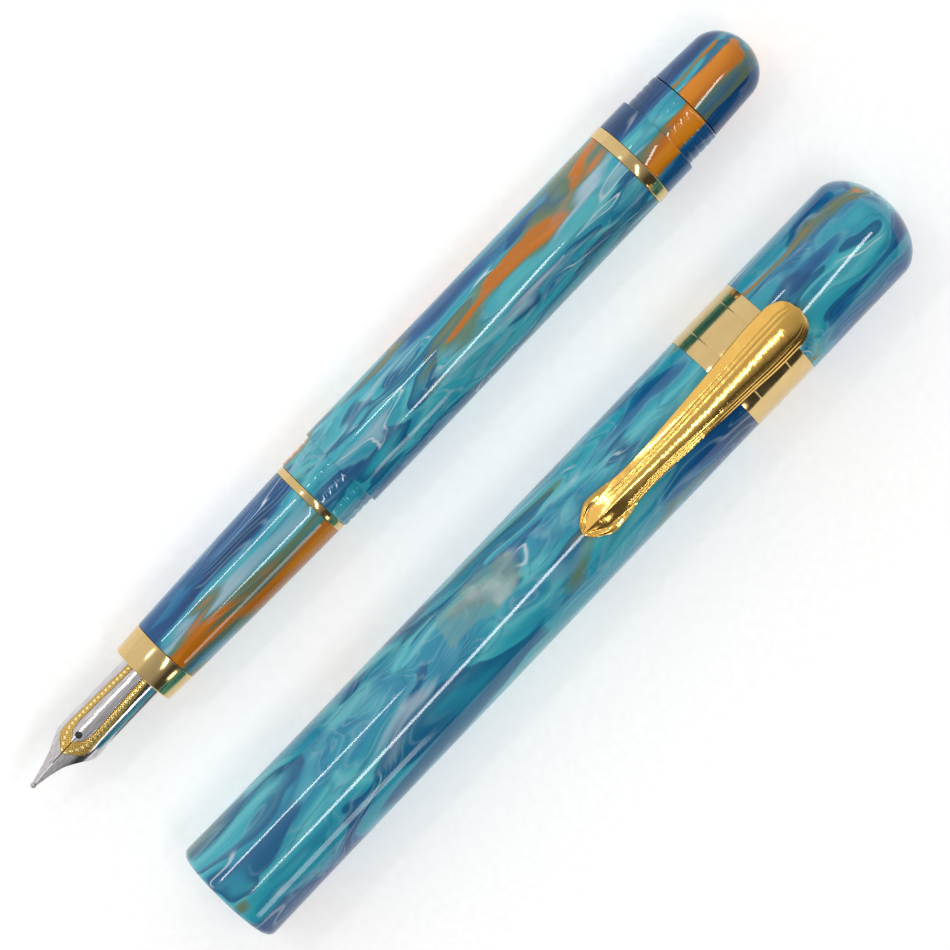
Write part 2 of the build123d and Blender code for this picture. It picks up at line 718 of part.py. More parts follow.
# Cap tube: long resin tube, bored wide for the barrel and narrower for the grip
tenon_socket_start = band_start - CROWN_TENON_DEPTH
inner_cap_start = tenon_socket_start - INNER_CAP_LEAD
with BuildPart() as cap_tube:
    with BuildSketch(cap_side):
        with BuildLine():
            Polyline(
                (CAP_LIP_TAPER, cap_radius),
                (band_start, cap_radius),
                (band_start, crown_tenon_radius + PRESSED),
                (tenon_socket_start, crown_tenon_radius + PRESSED),
                (tenon_socket_start, inner_cap_radius + PRESSED),
                (inner_cap_start, inner_cap_radius + PRESSED),
                (inner_cap_start, cap_inner_radius),
                (sleeve_end, cap_inner_radius),
                (sleeve_end, cap_bore_radius),
                (0, cap_bore_radius),
                (0, cap_lip_radius),
            )
            TangentArc(
                (CAP_LIP_TAPER, cap_radius),
                (0, cap_lip_radius),
                tangent=(-1, 0),
            )
        make_face()
    revolve(axis=cap_axis)
    mouth_edges = cap_tube.edges().filter_by(GeomType.CIRCLE).group_by(Axis.X)[0]
    fillet(mouth_edges.sort_by(SortBy.RADIUS)[-1], CAP_LIP_ROUNDING)
cap_tube.part.label = "cap_tube"
export_step(cap_tube.part, "parts/cap_tube.step")

# Thread sleeve: pale insert glued deep in the cap, which screws onto the barrel's front
sleeve_root = sleeve_crest_radius + THREAD_DEPTH
with BuildPart() as thread_sleeve:
    with BuildSketch(cap_side):
        with BuildLine():
            Polyline(
                (sleeve_start, sleeve_crest_radius),
                (sleeve_start, cap_bore_radius - PRESSED),
                (sleeve_end, cap_bore_radius - PRESSED),
                (sleeve_end, sleeve_crest_radius),
                close=True,
            )
        make_face()
    revolve(axis=cap_axis)
    with BuildSketch(cap_side):
        with Locations(*thread_grooves(sleeve_start, SLEEVE_LENGTH, sleeve_crest_radius)):
            Rectangle(THREAD_GROOVE, 2 * (sleeve_root - sleeve_crest_radius))
    revolve(axis=cap_axis, mode=Mode.SUBTRACT)
thread_sleeve.part.label = "thread_sleeve"
export_step(thread_sleeve.part, "parts/thread_sleeve.step")

# Clip band: polished ring clamped between the tube and the crown, with two turned lines
with BuildPart() as clip_band:
    with BuildSketch(cap_side):
        with BuildLine():
            Polyline(
                (band_start, crown_tenon_radius + PRESSED),
                (band_start, band_radius),
                (band_end, band_radius),
                (band_end, crown_tenon_radius + PRESSED),
                close=True,
            )
        make_face()
    revolve(axis=cap_axis)
    with BuildSketch(cap_side):
        with Locations(
            (band_start + BAND_GROOVE_INSET, band_radius),
            (band_end - BAND_GROOVE_INSET, band_radius),
        ):
            Rectangle(BAND_GROOVE_WIDTH, 2 * BAND_GROOVE_DEPTH)
    revolve(axis=cap_axis, mode=Mode.SUBTRACT)
clip_band.part.label = "clip_band"
export_step(clip_band.part, "parts/clip_band.step")

# Crown: domed resin end whose tenon screws through the band into the tube; the capped nib reaches into it
inner_cap_end = nib_reach + NIB_ROOM + INNER_CAP_WALL
with BuildPart() as crown:
    with BuildSketch(cap_side):
        with BuildLine():
            Polyline(
                (cap_length, 0),
                (inner_cap_end, 0),
                (inner_cap_end, inner_cap_radius + PRESSED),
                (tenon_socket_start, inner_cap_radius + PRESSED),
                (tenon_socket_start, crown_tenon_radius),
                (band_end, crown_tenon_radius),
                (band_end, crown_radius),
                (crown_dome, crown_radius),
            )
            EllipticalCenterArc(
                (crown_dome, 0), CROWN_DOME_LENGTH, crown_radius, start_angle=0, arc_size=90
            )
        make_face()
    revolve(axis=cap_axis)
crown.part.label = "crown"
export_step(crown.part, "parts/crown.step")

# Inner cap: plastic cup that closes round the grip's front so that the nib stays wet
with BuildPart() as inner_cap:
    with BuildSketch(cap_side):
        with BuildLine():
            Polyline(
                (inner_cap_start, inner_cap_bore),
                (inner_cap_start, inner_cap_radius),
                (inner_cap_end, inner_cap_radius),
                (inner_cap_end, 0),
                (inner_cap_end - INNER_CAP_WALL, 0),
                (inner_cap_end - INNER_CAP_WALL, inner_cap_bore),
                close=True,
            )
        make_face()
    revolve(axis=cap_axis)
inner_cap.part.label = "inner_cap"
export_step(inner_cap.part, "parts/inner_cap.step")

# Stations and heights of the clip, heights counted from the cap's axis
pin_station = (band_start + band_end) / 2
pin_level = band_radius + PIN_HEIGHT
clip_tip = band_start - CLIP_TIP_FROM_BAND
clip_end = band_end + CLIP_END_PAST_BAND
clip_top = band_radius + CLIP_TOP
clip_floor = band_radius + CLIP_UNDERSIDE

# Clip bracket: post soldered on the band, with the pin's running hole
with BuildPart() as clip_bracket:
    with BuildSketch(clip_side):
        with BuildLine():
            Line((pin_station - POST_TOP_RADIUS, pin_level), (pin_station - POST_TOP_RADIUS, 0))
            Line((pin_station - POST_TOP_RADIUS, 0), (pin_station + POST_TOP_RADIUS, 0))
            Line((pin_station + POST_TOP_RADIUS, 0), (pin_station + POST_TOP_RADIUS, pin_level))
            ThreePointArc(
                (pin_station + POST_TOP_RADIUS, pin_level),
                (pin_station, pin_level + POST_TOP_RADIUS),
                (pin_station - POST_TOP_RADIUS, pin_level),
            )
        make_face()
        with Locations((pin_station, pin_level)):
            Circle(PIN_RADIUS + RUNNING, mode=Mode.SUBTRACT)
    extrude(amount=POST_WIDTH / 2, both=True)
    with BuildSketch(cap_side):
        with Locations((pin_station, band_radius / 2)):
            Rectangle(4 * POST_TOP_RADIUS, band_radius)
    revolve(axis=cap_axis, mode=Mode.SUBTRACT)
clip_bracket.part.label = "clip_bracket"
export_step(clip_bracket.part, "parts/clip_bracket.step")

# Clip: tapered lever with a spearhead tip, pinned over the post; pressing its wide end lifts the tip
head_station = clip_tip + CLIP_HEAD_FROM_TIP
waist_station = clip_tip + CLIP_HEAD_LENGTH
contact_station = clip_tip + CLIP_CONTACT_FROM_TIP
shaft_station = pin_station - CLIP_SHAFT_RISE_LENGTH
end_fall_station = clip_end - CLIP_END_FALL_LENGTH
end_round_station = clip_end - CLIP_END_ROUNDING
flat_start = pin_station - CLIP_FLAT_HALF_LENGTH
flat_end = pin_station + CLIP_FLAT_HALF_LENGTH
tip_top = cap_radius + CLIP_TIP_TOP
tip_floor = cap_radius + CLIP_TIP_FLOOR
end_top = clip_top - CLIP_END_DROP
end_floor = clip_floor + CLIP_END_LIFT
with BuildPart() as clip:
    with BuildSketch(clip_side):
        with BuildLine():
            Spline(
                (clip_tip, tip_top),
                (head_station, cap_radius + CLIP_HEAD_TOP),
                (waist_station, cap_radius + CLIP_WAIST_TOP),
                (shaft_station, clip_top - CLIP_SHAFT_DROP),
                (pin_station, clip_top),
                (end_fall_station, clip_top - CLIP_END_FALL),
                (clip_end, end_top),
            )
            Polyline(
                (clip_end, end_top),
                (clip_end, end_floor),
                (flat_end, clip_floor),
                (flat_start, clip_floor),
            )
            Spline(
                (flat_start, clip_floor),
                (shaft_station, clip_floor + CLIP_SHAFT_LIFT),
                (waist_station, cap_radius + CLIP_WAIST_FLOOR),
                (contact_station + CLIP_CONTACT_LENGTH, tip_floor),
                (contact_station, cap_radius + CLIP_STOP_GAP),
                (clip_tip, tip_floor),
            )
            Line((clip_tip, tip_floor), (clip_tip, tip_top))
        make_face()
    extrude(amount=2 * CLIP_END_HALF_WIDTH, both=True)
    with BuildSketch(clip_plan):
        with BuildLine():
            Spline(
                (clip_tip, 0),
                (clip_tip + CLIP_POINT_LENGTH, CLIP_POINT_HALF_WIDTH),
                (head_station, CLIP_HEAD_HALF_WIDTH),
                tangents=((0, 1), (1, 0)),
            )
            Spline(
                (head_station, CLIP_HEAD_HALF_WIDTH),
                (waist_station, CLIP_WAIST_HALF_WIDTH),
                (band_start, CLIP_END_HALF_WIDTH - CLIP_SHAFT_NARROWING),
                (end_round_station, CLIP_END_HALF_WIDTH),
                tangents=((1, 0), (1, 0)),
            )
            EllipticalCenterArc(
                (end_round_station, 0), CLIP_END_ROUNDING, CLIP_END_HALF_WIDTH, start_angle=0, arc_size=90
            )
            Line((clip_end, 0), (clip_tip, 0))
        make_face()
        mirror(about=Plane.XZ)
    extrude(amount=2 * clip_top, mode=Mode.INTERSECT)
    with BuildSketch(clip_side):
        with Locations((pin_station, pin_level)):
            Rectangle(2 * (POST_TOP_RADIUS + CLIP_POST_ROOM), 2 * (POST_TOP_RADIUS + CLIP_POST_HEADROOM))
    extrude(amount=POST_WIDTH / 2 + CLIP_POST_SIDE_ROOM, both=True, mode=Mode.SUBTRACT)
    with BuildSketch(clip_side):
        with Locations((pin_station, pin_level)):
            Circle(PIN_RADIUS + PRESSED)
    extrude(amount=2 * CLIP_END_HALF_WIDTH, both=True, mode=Mode.SUBTRACT)
clip.part.label = "clip"
export_step(clip.part, "parts/clip.step")

# Clip pin: steel pin through the clip's cheeks and the post
with BuildPart() as clip_pin:
    with BuildSketch(clip_side):
        with Locations((pin_station, pin_level)):
            Circle(PIN_RADIUS)
    extrude(amount=PIN_LENGTH / 2, both=True)
clip_pin.part.label = "clip_pin"
export_step(clip_pin.part, "parts/clip_pin.step")

# Clip spring: bowed leaf on the band behind the post, which pushes the wide end up
spring_start = pin_station + POST_TOP_RADIUS + SPRING_FROM_POST
spring_middle = (spring_start + band_end) / 2 + SPRING_SET_BACK
spring_end = 2 * spring_middle - spring_start
spring_level = crown_radius + PRESSED
spring_top = clip_floor - PRESSED
with BuildPart() as clip_spring:
    with BuildSketch(clip_side):
        with BuildLine():
            ThreePointArc(
                (spring_start, spring_level),
                (spring_middle, spring_top - SPRING_THICKNESS),
                (spring_end, spring_level),
            )
            Line((spring_end, spring_level), (spring_end, spring_level + SPRING_THICKNESS))
            ThreePointArc(
                (spring_end, spring_level + SPRING_THICKNESS),
                (spring_middle, spring_top),
                (spring_start, spring_level + SPRING_THICKNESS),
            )
            Line((spring_start, spring_level + SPRING_THICKNESS), (spring_start, spring_level))
        make_face()
    extrude(amount=SPRING_WIDTH / 2, both=True)
clip_spring.part.label = "clip_spring"
export_step(clip_spring.part, "parts/clip_spring.step")
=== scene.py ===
from math import asin, atan2, cos, exp, pi, radians, sin, sqrt

import bpy
from mathutils import Matrix, Vector


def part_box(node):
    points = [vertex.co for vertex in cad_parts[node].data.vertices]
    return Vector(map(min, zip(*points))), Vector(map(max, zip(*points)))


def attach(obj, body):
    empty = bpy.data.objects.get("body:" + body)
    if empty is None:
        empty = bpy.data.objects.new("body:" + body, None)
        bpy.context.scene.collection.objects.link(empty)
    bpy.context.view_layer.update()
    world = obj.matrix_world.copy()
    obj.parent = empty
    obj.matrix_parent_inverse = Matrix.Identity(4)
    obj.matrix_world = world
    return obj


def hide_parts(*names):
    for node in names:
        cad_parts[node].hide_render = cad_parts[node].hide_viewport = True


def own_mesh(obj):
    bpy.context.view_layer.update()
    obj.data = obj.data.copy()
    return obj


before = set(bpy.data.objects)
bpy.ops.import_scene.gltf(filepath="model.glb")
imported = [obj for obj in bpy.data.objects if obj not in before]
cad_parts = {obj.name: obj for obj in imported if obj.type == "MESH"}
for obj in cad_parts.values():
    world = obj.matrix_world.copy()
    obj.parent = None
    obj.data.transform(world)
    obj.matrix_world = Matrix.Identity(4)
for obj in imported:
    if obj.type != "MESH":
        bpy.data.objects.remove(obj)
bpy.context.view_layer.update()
mm = 0.001

# ---------------------------------------------------------------------------
# Table, light and camera
# A pen maker's picture table: a matt white top seen from straight above, a pale
# wall of light on the pen's side and long lamps parallel to the pen.
# ---------------------------------------------------------------------------


def add_node(tree, kind, values=None, **settings):
    """Adds a node; a value that is another node's socket is linked, any other is set."""
    node = tree.nodes.new(kind)
    for key, value in settings.items():
        setattr(node, key, value)
    for key, value in (values or {}).items():
        if isinstance(value, bpy.types.NodeSocket):
            tree.links.new(value, node.inputs[key])
        else:
            node.inputs[key].default_value = value
    return node


def colour(red, green, blue):
    """A colour given by its screen values, 0 to 255, as the renderer counts it."""
    shares = [value / 255 for value in (red, green, blue)]
    return [s / 12.92 if s < 0.04045 else ((s + 0.055) / 1.055) ** 2.4 for s in shares] + [1]


def ramp(tree, factor, stops, interpolation="LINEAR"):
    """A colour ramp with its stops given as (place, colour)."""
    node = add_node(tree, "ShaderNodeValToRGB", {0: factor})
    node.color_ramp.interpolation = interpolation
    while len(node.color_ramp.elements) < len(stops):
        node.color_ramp.elements.new(1)
    for element, (place, shade) in zip(node.color_ramp.elements, stops):
        element.position = place
        element.color = shade
    return node.outputs[0]


def material(name):
    """A new material, its node tree and its Principled shader."""
    made = bpy.data.materials.new(name)
    made.use_nodes = True
    return made, made.node_tree, made.node_tree.nodes["Principled BSDF"]


scene = bpy.context.scene
scene.view_settings.view_transform = "Standard"

bpy.ops.mesh.primitive_plane_add(size=4)
floor = bpy.context.object
floor.name = "table_top"
paper, tree, shader = material("matt_paper")
paper_place = add_node(tree, "ShaderNodeTexCoord").outputs["Object"]
fibres = add_node(tree, "ShaderNodeTexNoise", {"Vector": paper_place, "Scale": 900, "Detail": 4})
paper_tone = ramp(tree, fibres.outputs[0], [
    (0.3, (0.86, 0.86, 0.86, 1)), (0.7, (0.90, 0.90, 0.90, 1)),
])
tree.links.new(paper_tone, shader.inputs["Base Color"])
tree.links.new(paper_tone, shader.inputs["Emission Color"])
shader.inputs["Emission Strength"].default_value = 0.42
shader.inputs["Roughness"].default_value = 0.9
floor.data.materials.append(paper)

world = bpy.data.worlds.new("studio_room")
scene.world = world
world.use_nodes = True
tree = world.node_tree
direction = add_node(tree, "ShaderNodeTexCoord").outputs["Generated"]
across = add_node(tree, "ShaderNodeSeparateXYZ", {0: direction}).outputs["Y"]
across = add_node(tree, "ShaderNodeMapRange", {0: across, 1: -1, 2: 1, 3: 0, 4: 1}).outputs[0]
room = ramp(tree, across, [
    (0.000, (0.06, 0.06, 0.06, 1)),
    (0.100, (0.07, 0.07, 0.07, 1)),
    (0.160, (0.24, 0.24, 0.24, 1)),
    (0.260, (0.42, 0.42, 0.42, 1)),
    (0.450, (0.50, 0.50, 0.50, 1)),
    (0.620, (0.62, 0.61, 0.60, 1)),
    (0.680, (0.88, 0.87, 0.85, 1)),
    (1.000, (0.92, 0.91, 0.89, 1)),
])
tree.links.new(room, tree.nodes["Background"].inputs["Color"])
tree.nodes["Background"].inputs["Strength"].default_value = 1.0

for name, place, turn, length, width, power in (
    ("lamp_left", (-0.095, 0.325, 0.62), 0, 0.13, 0.030, 0.22),
    ("lamp_right", (0.026, -0.270, 0.66), 37, 0.33, 0.050, 0.75),
    ("lamp_low", (-0.100, -0.669, 0.205), 0, 0.11, 0.140, 0.20),
):
    place = Vector(place)
    bpy.ops.object.light_add(type="AREA", location=place)
    lamp = bpy.context.object
    lamp.rotation_euler = (-atan2(place.y, place.z), 0, 0)
    lamp.rotation_euler.rotate_axis("Z", radians(turn))
    lamp.name = name
    lamp.data.shape = "RECTANGLE"
    lamp.data.size = length
    lamp.data.size_y = width
    lamp.data.energy = power

CAMERA_PLACE = (1.95 * mm, 1.28 * mm, 0.55)
CAMERA_TURN = -46.32
SHARP_LEVEL = 7 * mm
VIEW_WIDTH = 0.12025
SENSOR_WIDTH = 36.0
bpy.ops.object.camera_add(location=CAMERA_PLACE, rotation=(0, 0, radians(CAMERA_TURN)))
camera = bpy.context.object
camera.data.sensor_width = SENSOR_WIDTH
camera.data.lens = SENSOR_WIDTH * (CAMERA_PLACE[2] - SHARP_LEVEL) / VIEW_WIDTH
camera.data.clip_start = 0.01
scene.camera = camera

# ---------------------------------------------------------------------------
# Barrel
# Turned from a cast rod of swirled acrylic: turquoise, blue and a little orange
# with pearl wisps, drawn out along the rod. The cap's thread is cut on its front.
# ---------------------------------------------------------------------------


def lathe(name, outline, line, edge=0.0, steps=160, smooth=35):
    """Turns an outline of (place along X, radius) points once round a line through a point."""
    bpy.ops.object.select_all(action="DESELECT")
    start, radius = outline[0]
    bpy.ops.mesh.primitive_plane_add(size=mm, location=(start, line.y, line.z + radius))
    bpy.ops.object.transform_apply(location=True, rotation=False, scale=False)
    piece = bpy.context.object
    piece.name = name
    bpy.ops.object.mode_set(mode="EDIT")
    bpy.ops.mesh.select_mode(type="VERT")
    bpy.ops.mesh.merge(type="CENTER")
    for (x0, r0), (x1, r1) in zip(outline, outline[1:]):
        bpy.ops.mesh.extrude_vertices_move(TRANSFORM_OT_translate={"value": (x1 - x0, 0, r1 - r0)})
    bpy.ops.mesh.select_all(action="SELECT")
    bpy.ops.mesh.spin(steps=steps, angle=2 * pi, center=(0, line.y, line.z), axis=(1, 0, 0))
    bpy.ops.mesh.select_all(action="SELECT")
    bpy.ops.mesh.remove_doubles(threshold=0.001 * mm)
    bpy.ops.mesh.normals_make_consistent(inside=False)
    bpy.ops.object.mode_set(mode="OBJECT")
    if edge:
        bevel = piece.modifiers.new("turned_edges", "BEVEL")
        bevel.width = edge
        bevel.segments = 3
        bevel.limit_method = "ANGLE"
        bevel.angle_limit = radians(25)
        bpy.ops.object.modifier_apply(modifier=bevel.name)
    bpy.ops.object.shade_smooth_by_angle(angle=radians(smooth))
    return piece


def along(start, end, radius, count):
    """Evenly spaced outline points at one radius, for a stretch that is shaped later."""
    return [(start + (end - start) * i / count, radius) for i in range(count + 1)]


def cut_thread(piece, line, start, end, crest):
    """Sinks the thread's rounded groove into a finely divided stretch, fading out at both ends."""
    for vertex in piece.data.vertices:
        x = vertex.co.x
        offset = Vector((0, vertex.co.y - line.y, vertex.co.z - line.z))
        on_crest = abs(offset.length - crest) < 0.02 * mm
        if start < x < end and on_crest:
            turn = (x - start) / THREAD_PITCH - atan2(offset.y, offset.z) / (2 * pi)
            groove_with_painted_shade = (0.5 + 0.5 * cos(2 * pi * turn)) ** 3
            fade = min(1, (x - start) / (0.5 * THREAD_PITCH), (end - x) / (0.5 * THREAD_PITCH))
            offset *= 1 - THREAD_DEPTH * groove_with_painted_shade * fade / crest
            vertex.co = Vector((x, line.y + offset.y, line.z + offset.z))


def swirl_group():
    """Colour of a cast acrylic rod: folded clouds of dye with thin pearl and orange drawn into them."""
    tree = bpy.data.node_groups.new("cast_swirl", "ShaderNodeTree")
    face = tree.interface
    face.new_socket("Place", in_out="INPUT", socket_type="NodeSocketVector")
    for name in ("Folding", "Blue", "Orange", "Pearl"):
        face.new_socket(name, in_out="INPUT", socket_type="NodeSocketFloat")
    face.new_socket("Colour", in_out="OUTPUT", socket_type="NodeSocketColor")
    given = add_node(tree, "NodeGroupInput").outputs

    def folded(place, scale, share):
        """Pushes each place aside by a cloud of its own, as stirring does."""
        cloud = add_node(tree, "ShaderNodeTexNoise", {"Vector": place, "Scale": scale, "Detail": 2})
        push = add_node(
            tree, "ShaderNodeVectorMath", {0: cloud.outputs["Color"], 1: (0.5, 0.5, 0.5)},
            operation="SUBTRACT",
        )
        amount = add_node(
            tree, "ShaderNodeMath", {0: given["Folding"], 1: share}, operation="MULTIPLY"
        )
        push = add_node(
            tree, "ShaderNodeVectorMath", {0: push.outputs[0], "Scale": amount.outputs[0]},
            operation="SCALE",
        )
        moved = add_node(tree, "ShaderNodeVectorMath", {0: place, 1: push.outputs[0]})
        return moved.outputs[0]

    def cloud(place, shift, scale, detail):
        """One dye's own cloud, from 0 to 1."""
        moved = add_node(tree, "ShaderNodeVectorMath", {0: place, 1: (shift, 2 * shift, -shift)})
        noise = add_node(
            tree, "ShaderNodeTexNoise",
            {"Vector": moved.outputs[0], "Scale": scale, "Detail": detail, "Roughness": 0.5},
        )
        return noise.outputs[0]

    def between(value, low, high):
        """0 under low, 1 over high and smooth between them."""
        return add_node(
            tree, "ShaderNodeMapRange", {0: value, 1: low, 2: high}, interpolation_type="SMOOTHSTEP"
        ).outputs[0]

    def maths(operation, *values):
        return add_node(
            tree, "ShaderNodeMath", dict(enumerate(values)), operation=operation
        ).outputs[0]

    def laid(under, over, amount):
        """One colour laid over another by a mask."""
        return add_node(
            tree, "ShaderNodeMix", {0: amount, 6: under, 7: over}, data_type="RGBA"
        ).outputs[2]

    place = folded(given["Place"], 0.8, 1.0)
    place = folded(place, 1.7, 0.34)
    fine_place = folded(place, 4.0, 0.05)

    body = maths("SUBTRACT", cloud(place, 0.0, 1.0, 1.2), given["Blue"])
    shade = ramp(tree, body, [
        (0.24, colour(10, 62, 112)),
        (0.33, colour(18, 88, 146)),
        (0.40, colour(34, 124, 168)),
        (0.43, colour(84, 164, 190)),
        (0.46, colour(46, 158, 184)),
        (0.52, colour(54, 174, 194)),
        (0.58, colour(96, 196, 206)),
        (0.63, colour(50, 160, 184)),
        (0.70, colour(40, 140, 176)),
        (0.78, colour(96, 188, 200)),
    ])
    streak = cloud(place, 7.3, 1.5, 1.6)
    dark_end = maths("SUBTRACT", 1.0, between(streak, 0.60, 0.74))
    dark = maths("MULTIPLY", between(streak, 0.54, 0.575), dark_end)
    shade = laid(shade, colour(16, 76, 132), maths("MULTIPLY", dark, 0.75))
    dusk = between(maths("ABSOLUTE", maths("SUBTRACT", streak, 0.44)), 0.005, 0.025)
    dusk = maths("SUBTRACT", 1.0, dusk)
    shade = laid(shade, colour(20, 98, 142), maths("MULTIPLY", dusk, 0.3))

    amber = maths("ADD", cloud(place, 13.1, 1.1, 2.0), given["Orange"])
    olive = between(amber, 0.565, 0.64)
    olive_share = maths("MULTIPLY", olive, 0.85)
    shade = laid(shade, colour(112, 128, 84), olive_share)
    shade = laid(shade, colour(202, 116, 16), between(amber, 0.635, 0.675))
    shade = laid(shade, colour(232, 142, 24), between(amber, 0.69, 0.80))

    clear = maths("SUBTRACT", 1.0, olive_share)
    pearl = maths("MULTIPLY", given["Pearl"], clear)
    fold = cloud(fine_place, 21.7, 0.9, 1.6)
    lines = maths("PINGPONG", maths("MULTIPLY", fold, 25.0), 0.5)
    lines = between(lines, 0.25, 0.50)
    haze = between(cloud(place, 31.0, 1.4, 1.0), 0.47, 0.60)
    lines = maths("MULTIPLY", maths("MULTIPLY", lines, haze), pearl)
    shade = laid(shade, colour(150, 194, 212), maths("MULTIPLY", lines, 0.36))
    vein = maths("ABSOLUTE", maths("SUBTRACT", fold, 0.5))
    vein = maths("SUBTRACT", 1.0, between(vein, 0.0, 0.012))
    patchy = between(cloud(place, 51.0, 1.6, 1.0), 0.50, 0.62)
    vein = maths("MULTIPLY", maths("MULTIPLY", vein, patchy), pearl)
    shade = laid(shade, colour(214, 228, 236), maths("MULTIPLY", vein, 0.9))
    smoke = cloud(fine_place, 41.0, 1.2, 2.5)
    smoke = maths("MULTIPLY", between(smoke, 0.58, 0.74), pearl)
    shade = laid(shade, colour(188, 212, 226), maths("MULTIPLY", smoke, 0.8))
    add_node(tree, "NodeGroupOutput", {"Colour": shade})
    return tree


def handling_group():
    """Faint marks of a polished and handled surface: smears in its gloss and a slight waviness."""
    tree = bpy.data.node_groups.new("handling_marks", "ShaderNodeTree")
    face = tree.interface
    face.new_socket("Place", in_out="INPUT", socket_type="NodeSocketVector")
    face.new_socket("Smooth", in_out="INPUT", socket_type="NodeSocketFloat")
    face.new_socket("Rough", in_out="INPUT", socket_type="NodeSocketFloat")
    face.new_socket("Roughness", in_out="OUTPUT", socket_type="NodeSocketFloat")
    face.new_socket("Height", in_out="OUTPUT", socket_type="NodeSocketFloat")
    given = add_node(tree, "NodeGroupInput").outputs
    smear = add_node(
        tree, "ShaderNodeTexNoise", {"Vector": given["Place"], "Scale": 0.35, "Detail": 4}
    )
    level = add_node(
        tree, "ShaderNodeMapRange",
        {0: smear.outputs[0], 1: 0.3, 2: 0.7, 3: given["Smooth"], 4: given["Rough"]},
    )
    wave = add_node(tree, "ShaderNodeTexNoise", {"Vector": given["Place"], "Scale": 0.5, "Detail": 2})
    add_node(tree, "NodeGroupOutput", {"Roughness": level.outputs[0], "Height": wave.outputs[0]})
    return tree


cast_swirl = swirl_group()
handling_marks = handling_group()


def resin(name, offset, grain, line, start, across, along_it, folding=1.6, pearl=1.0):
    """Polished cast acrylic. grain is how fine the swirl is along X, Y and Z, in turns a millimetre.

    across and along_it say where the rod is bluer or more orange: lists of
    (millimetres from the line or from the start, blue, orange).
    """
    made, tree, shader = material(name)
    place = add_node(tree, "ShaderNodeTexCoord").outputs["Object"]
    swirl = add_node(tree, "ShaderNodeGroup", node_tree=cast_swirl)
    swirl.inputs["Folding"].default_value = folding
    swirl.inputs["Pearl"].default_value = pearl
    rod = add_node(tree, "ShaderNodeMapping", {
        "Vector": place, "Location": offset, "Scale": [share / mm for share in grain],
    })
    tree.links.new(rod.outputs[0], swirl.inputs["Place"])
    stir = add_node(tree, "ShaderNodeTexNoise", {"Vector": rod.outputs[0], "Scale": 1.3, "Detail": 3})
    stir = add_node(tree, "ShaderNodeMapRange", {0: stir.outputs[0], 3: -3.0, 4: 3.0}).outputs[0]
    parts = add_node(tree, "ShaderNodeSeparateXYZ", {0: place}).outputs
    doses = None
    for value, zero, table in (("Y", line.y, across), ("X", start, along_it)):
        first, last = table[0][0], table[-1][0]
        value = add_node(tree, "ShaderNodeMath", {0: parts[value], 1: zero}, operation="SUBTRACT")
        value = add_node(
            tree, "ShaderNodeMath", {0: value.outputs[0], 1: 1 / mm, 2: stir}, operation="MULTIPLY_ADD"
        )
        share = add_node(tree, "ShaderNodeMapRange", {0: value.outputs[0], 1: first, 2: last})
        dose = ramp(tree, share.outputs[0], [
            ((where - first) / (last - first), (0.5 + blue, 0.5 + orange, 0.5, 1))
            for where, blue, orange in table
        ])
        doses = dose if doses is None else add_node(
            tree, "ShaderNodeVectorMath", {0: doses, 1: dose}
        ).outputs[0]
    doses = add_node(tree, "ShaderNodeVectorMath", {0: doses, 1: (1, 1, 1)}, operation="SUBTRACT")
    doses = add_node(tree, "ShaderNodeSeparateXYZ", {0: doses.outputs[0]}).outputs
    tree.links.new(doses["X"], swirl.inputs["Blue"])
    tree.links.new(doses["Y"], swirl.inputs["Orange"])
    tree.links.new(swirl.outputs["Colour"], shader.inputs["Base Color"])
    millimetres = add_node(
        tree, "ShaderNodeMapping", {"Vector": place, "Scale": (1 / mm, 1 / mm, 1 / mm)}
    )
    marks = add_node(tree, "ShaderNodeGroup", node_tree=handling_marks)
    tree.links.new(millimetres.outputs[0], marks.inputs["Place"])
    marks.inputs["Smooth"].default_value = 0.05
    marks.inputs["Rough"].default_value = 0.09
    tree.links.new(marks.outputs["Roughness"], shader.inputs["Roughness"])
    bump = add_node(
        tree, "ShaderNodeBump",
        {"Height": marks.outputs["Height"], "Strength": 0.05, "Distance": 0.02 * mm},
    )
    tree.links.new(bump.outputs[0], shader.inputs["Normal"])
    shader.inputs["IOR"].default_value = 1.49
    return made


low, high = (Vector(corner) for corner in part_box("barrel"))
pen_line = (low + high) / 2
barrel_front, barrel_end = low.x, high.x
barrel_radius = (high.y - low.y) / 2
THREAD_LENGTH = 4.9 * mm
THREAD_CREST = 5.62 * mm
THREAD_PITCH = 1.15 * mm
THREAD_DEPTH = 0.085 * mm
THREAD_LEAD = 0.2 * mm
BARREL_BORE = 4.2 * mm
CHAMBER_BORE = 4.4 * mm
STOCK_SEAT_BORE = 5.0 * mm
STOCK_SEAT_LENGTH = 10.1 * mm
NECK_LENGTH = 9.2 * mm
thread_end = barrel_front + THREAD_LENGTH
neck_end = barrel_front + NECK_LENGTH
stock_seat = barrel_end - STOCK_SEAT_LENGTH
barrel = lathe(
    "barrel_shell",
    [(barrel_front, BARREL_BORE), (barrel_front, THREAD_CREST - THREAD_LEAD)]
    + along(barrel_front + THREAD_LEAD, thread_end, THREAD_CREST, 44)
    + [
        (thread_end, barrel_radius),
        (barrel_end, barrel_radius),
        (barrel_end, STOCK_SEAT_BORE),
        (stock_seat, STOCK_SEAT_BORE),
        (stock_seat, CHAMBER_BORE),
        (neck_end, CHAMBER_BORE),
        (neck_end, BARREL_BORE),
        (barrel_front, BARREL_BORE),
    ],
    pen_line,
    edge=0.12 * mm,
)
cut_thread(barrel, pen_line, barrel_front + THREAD_LEAD, thread_end, THREAD_CREST)
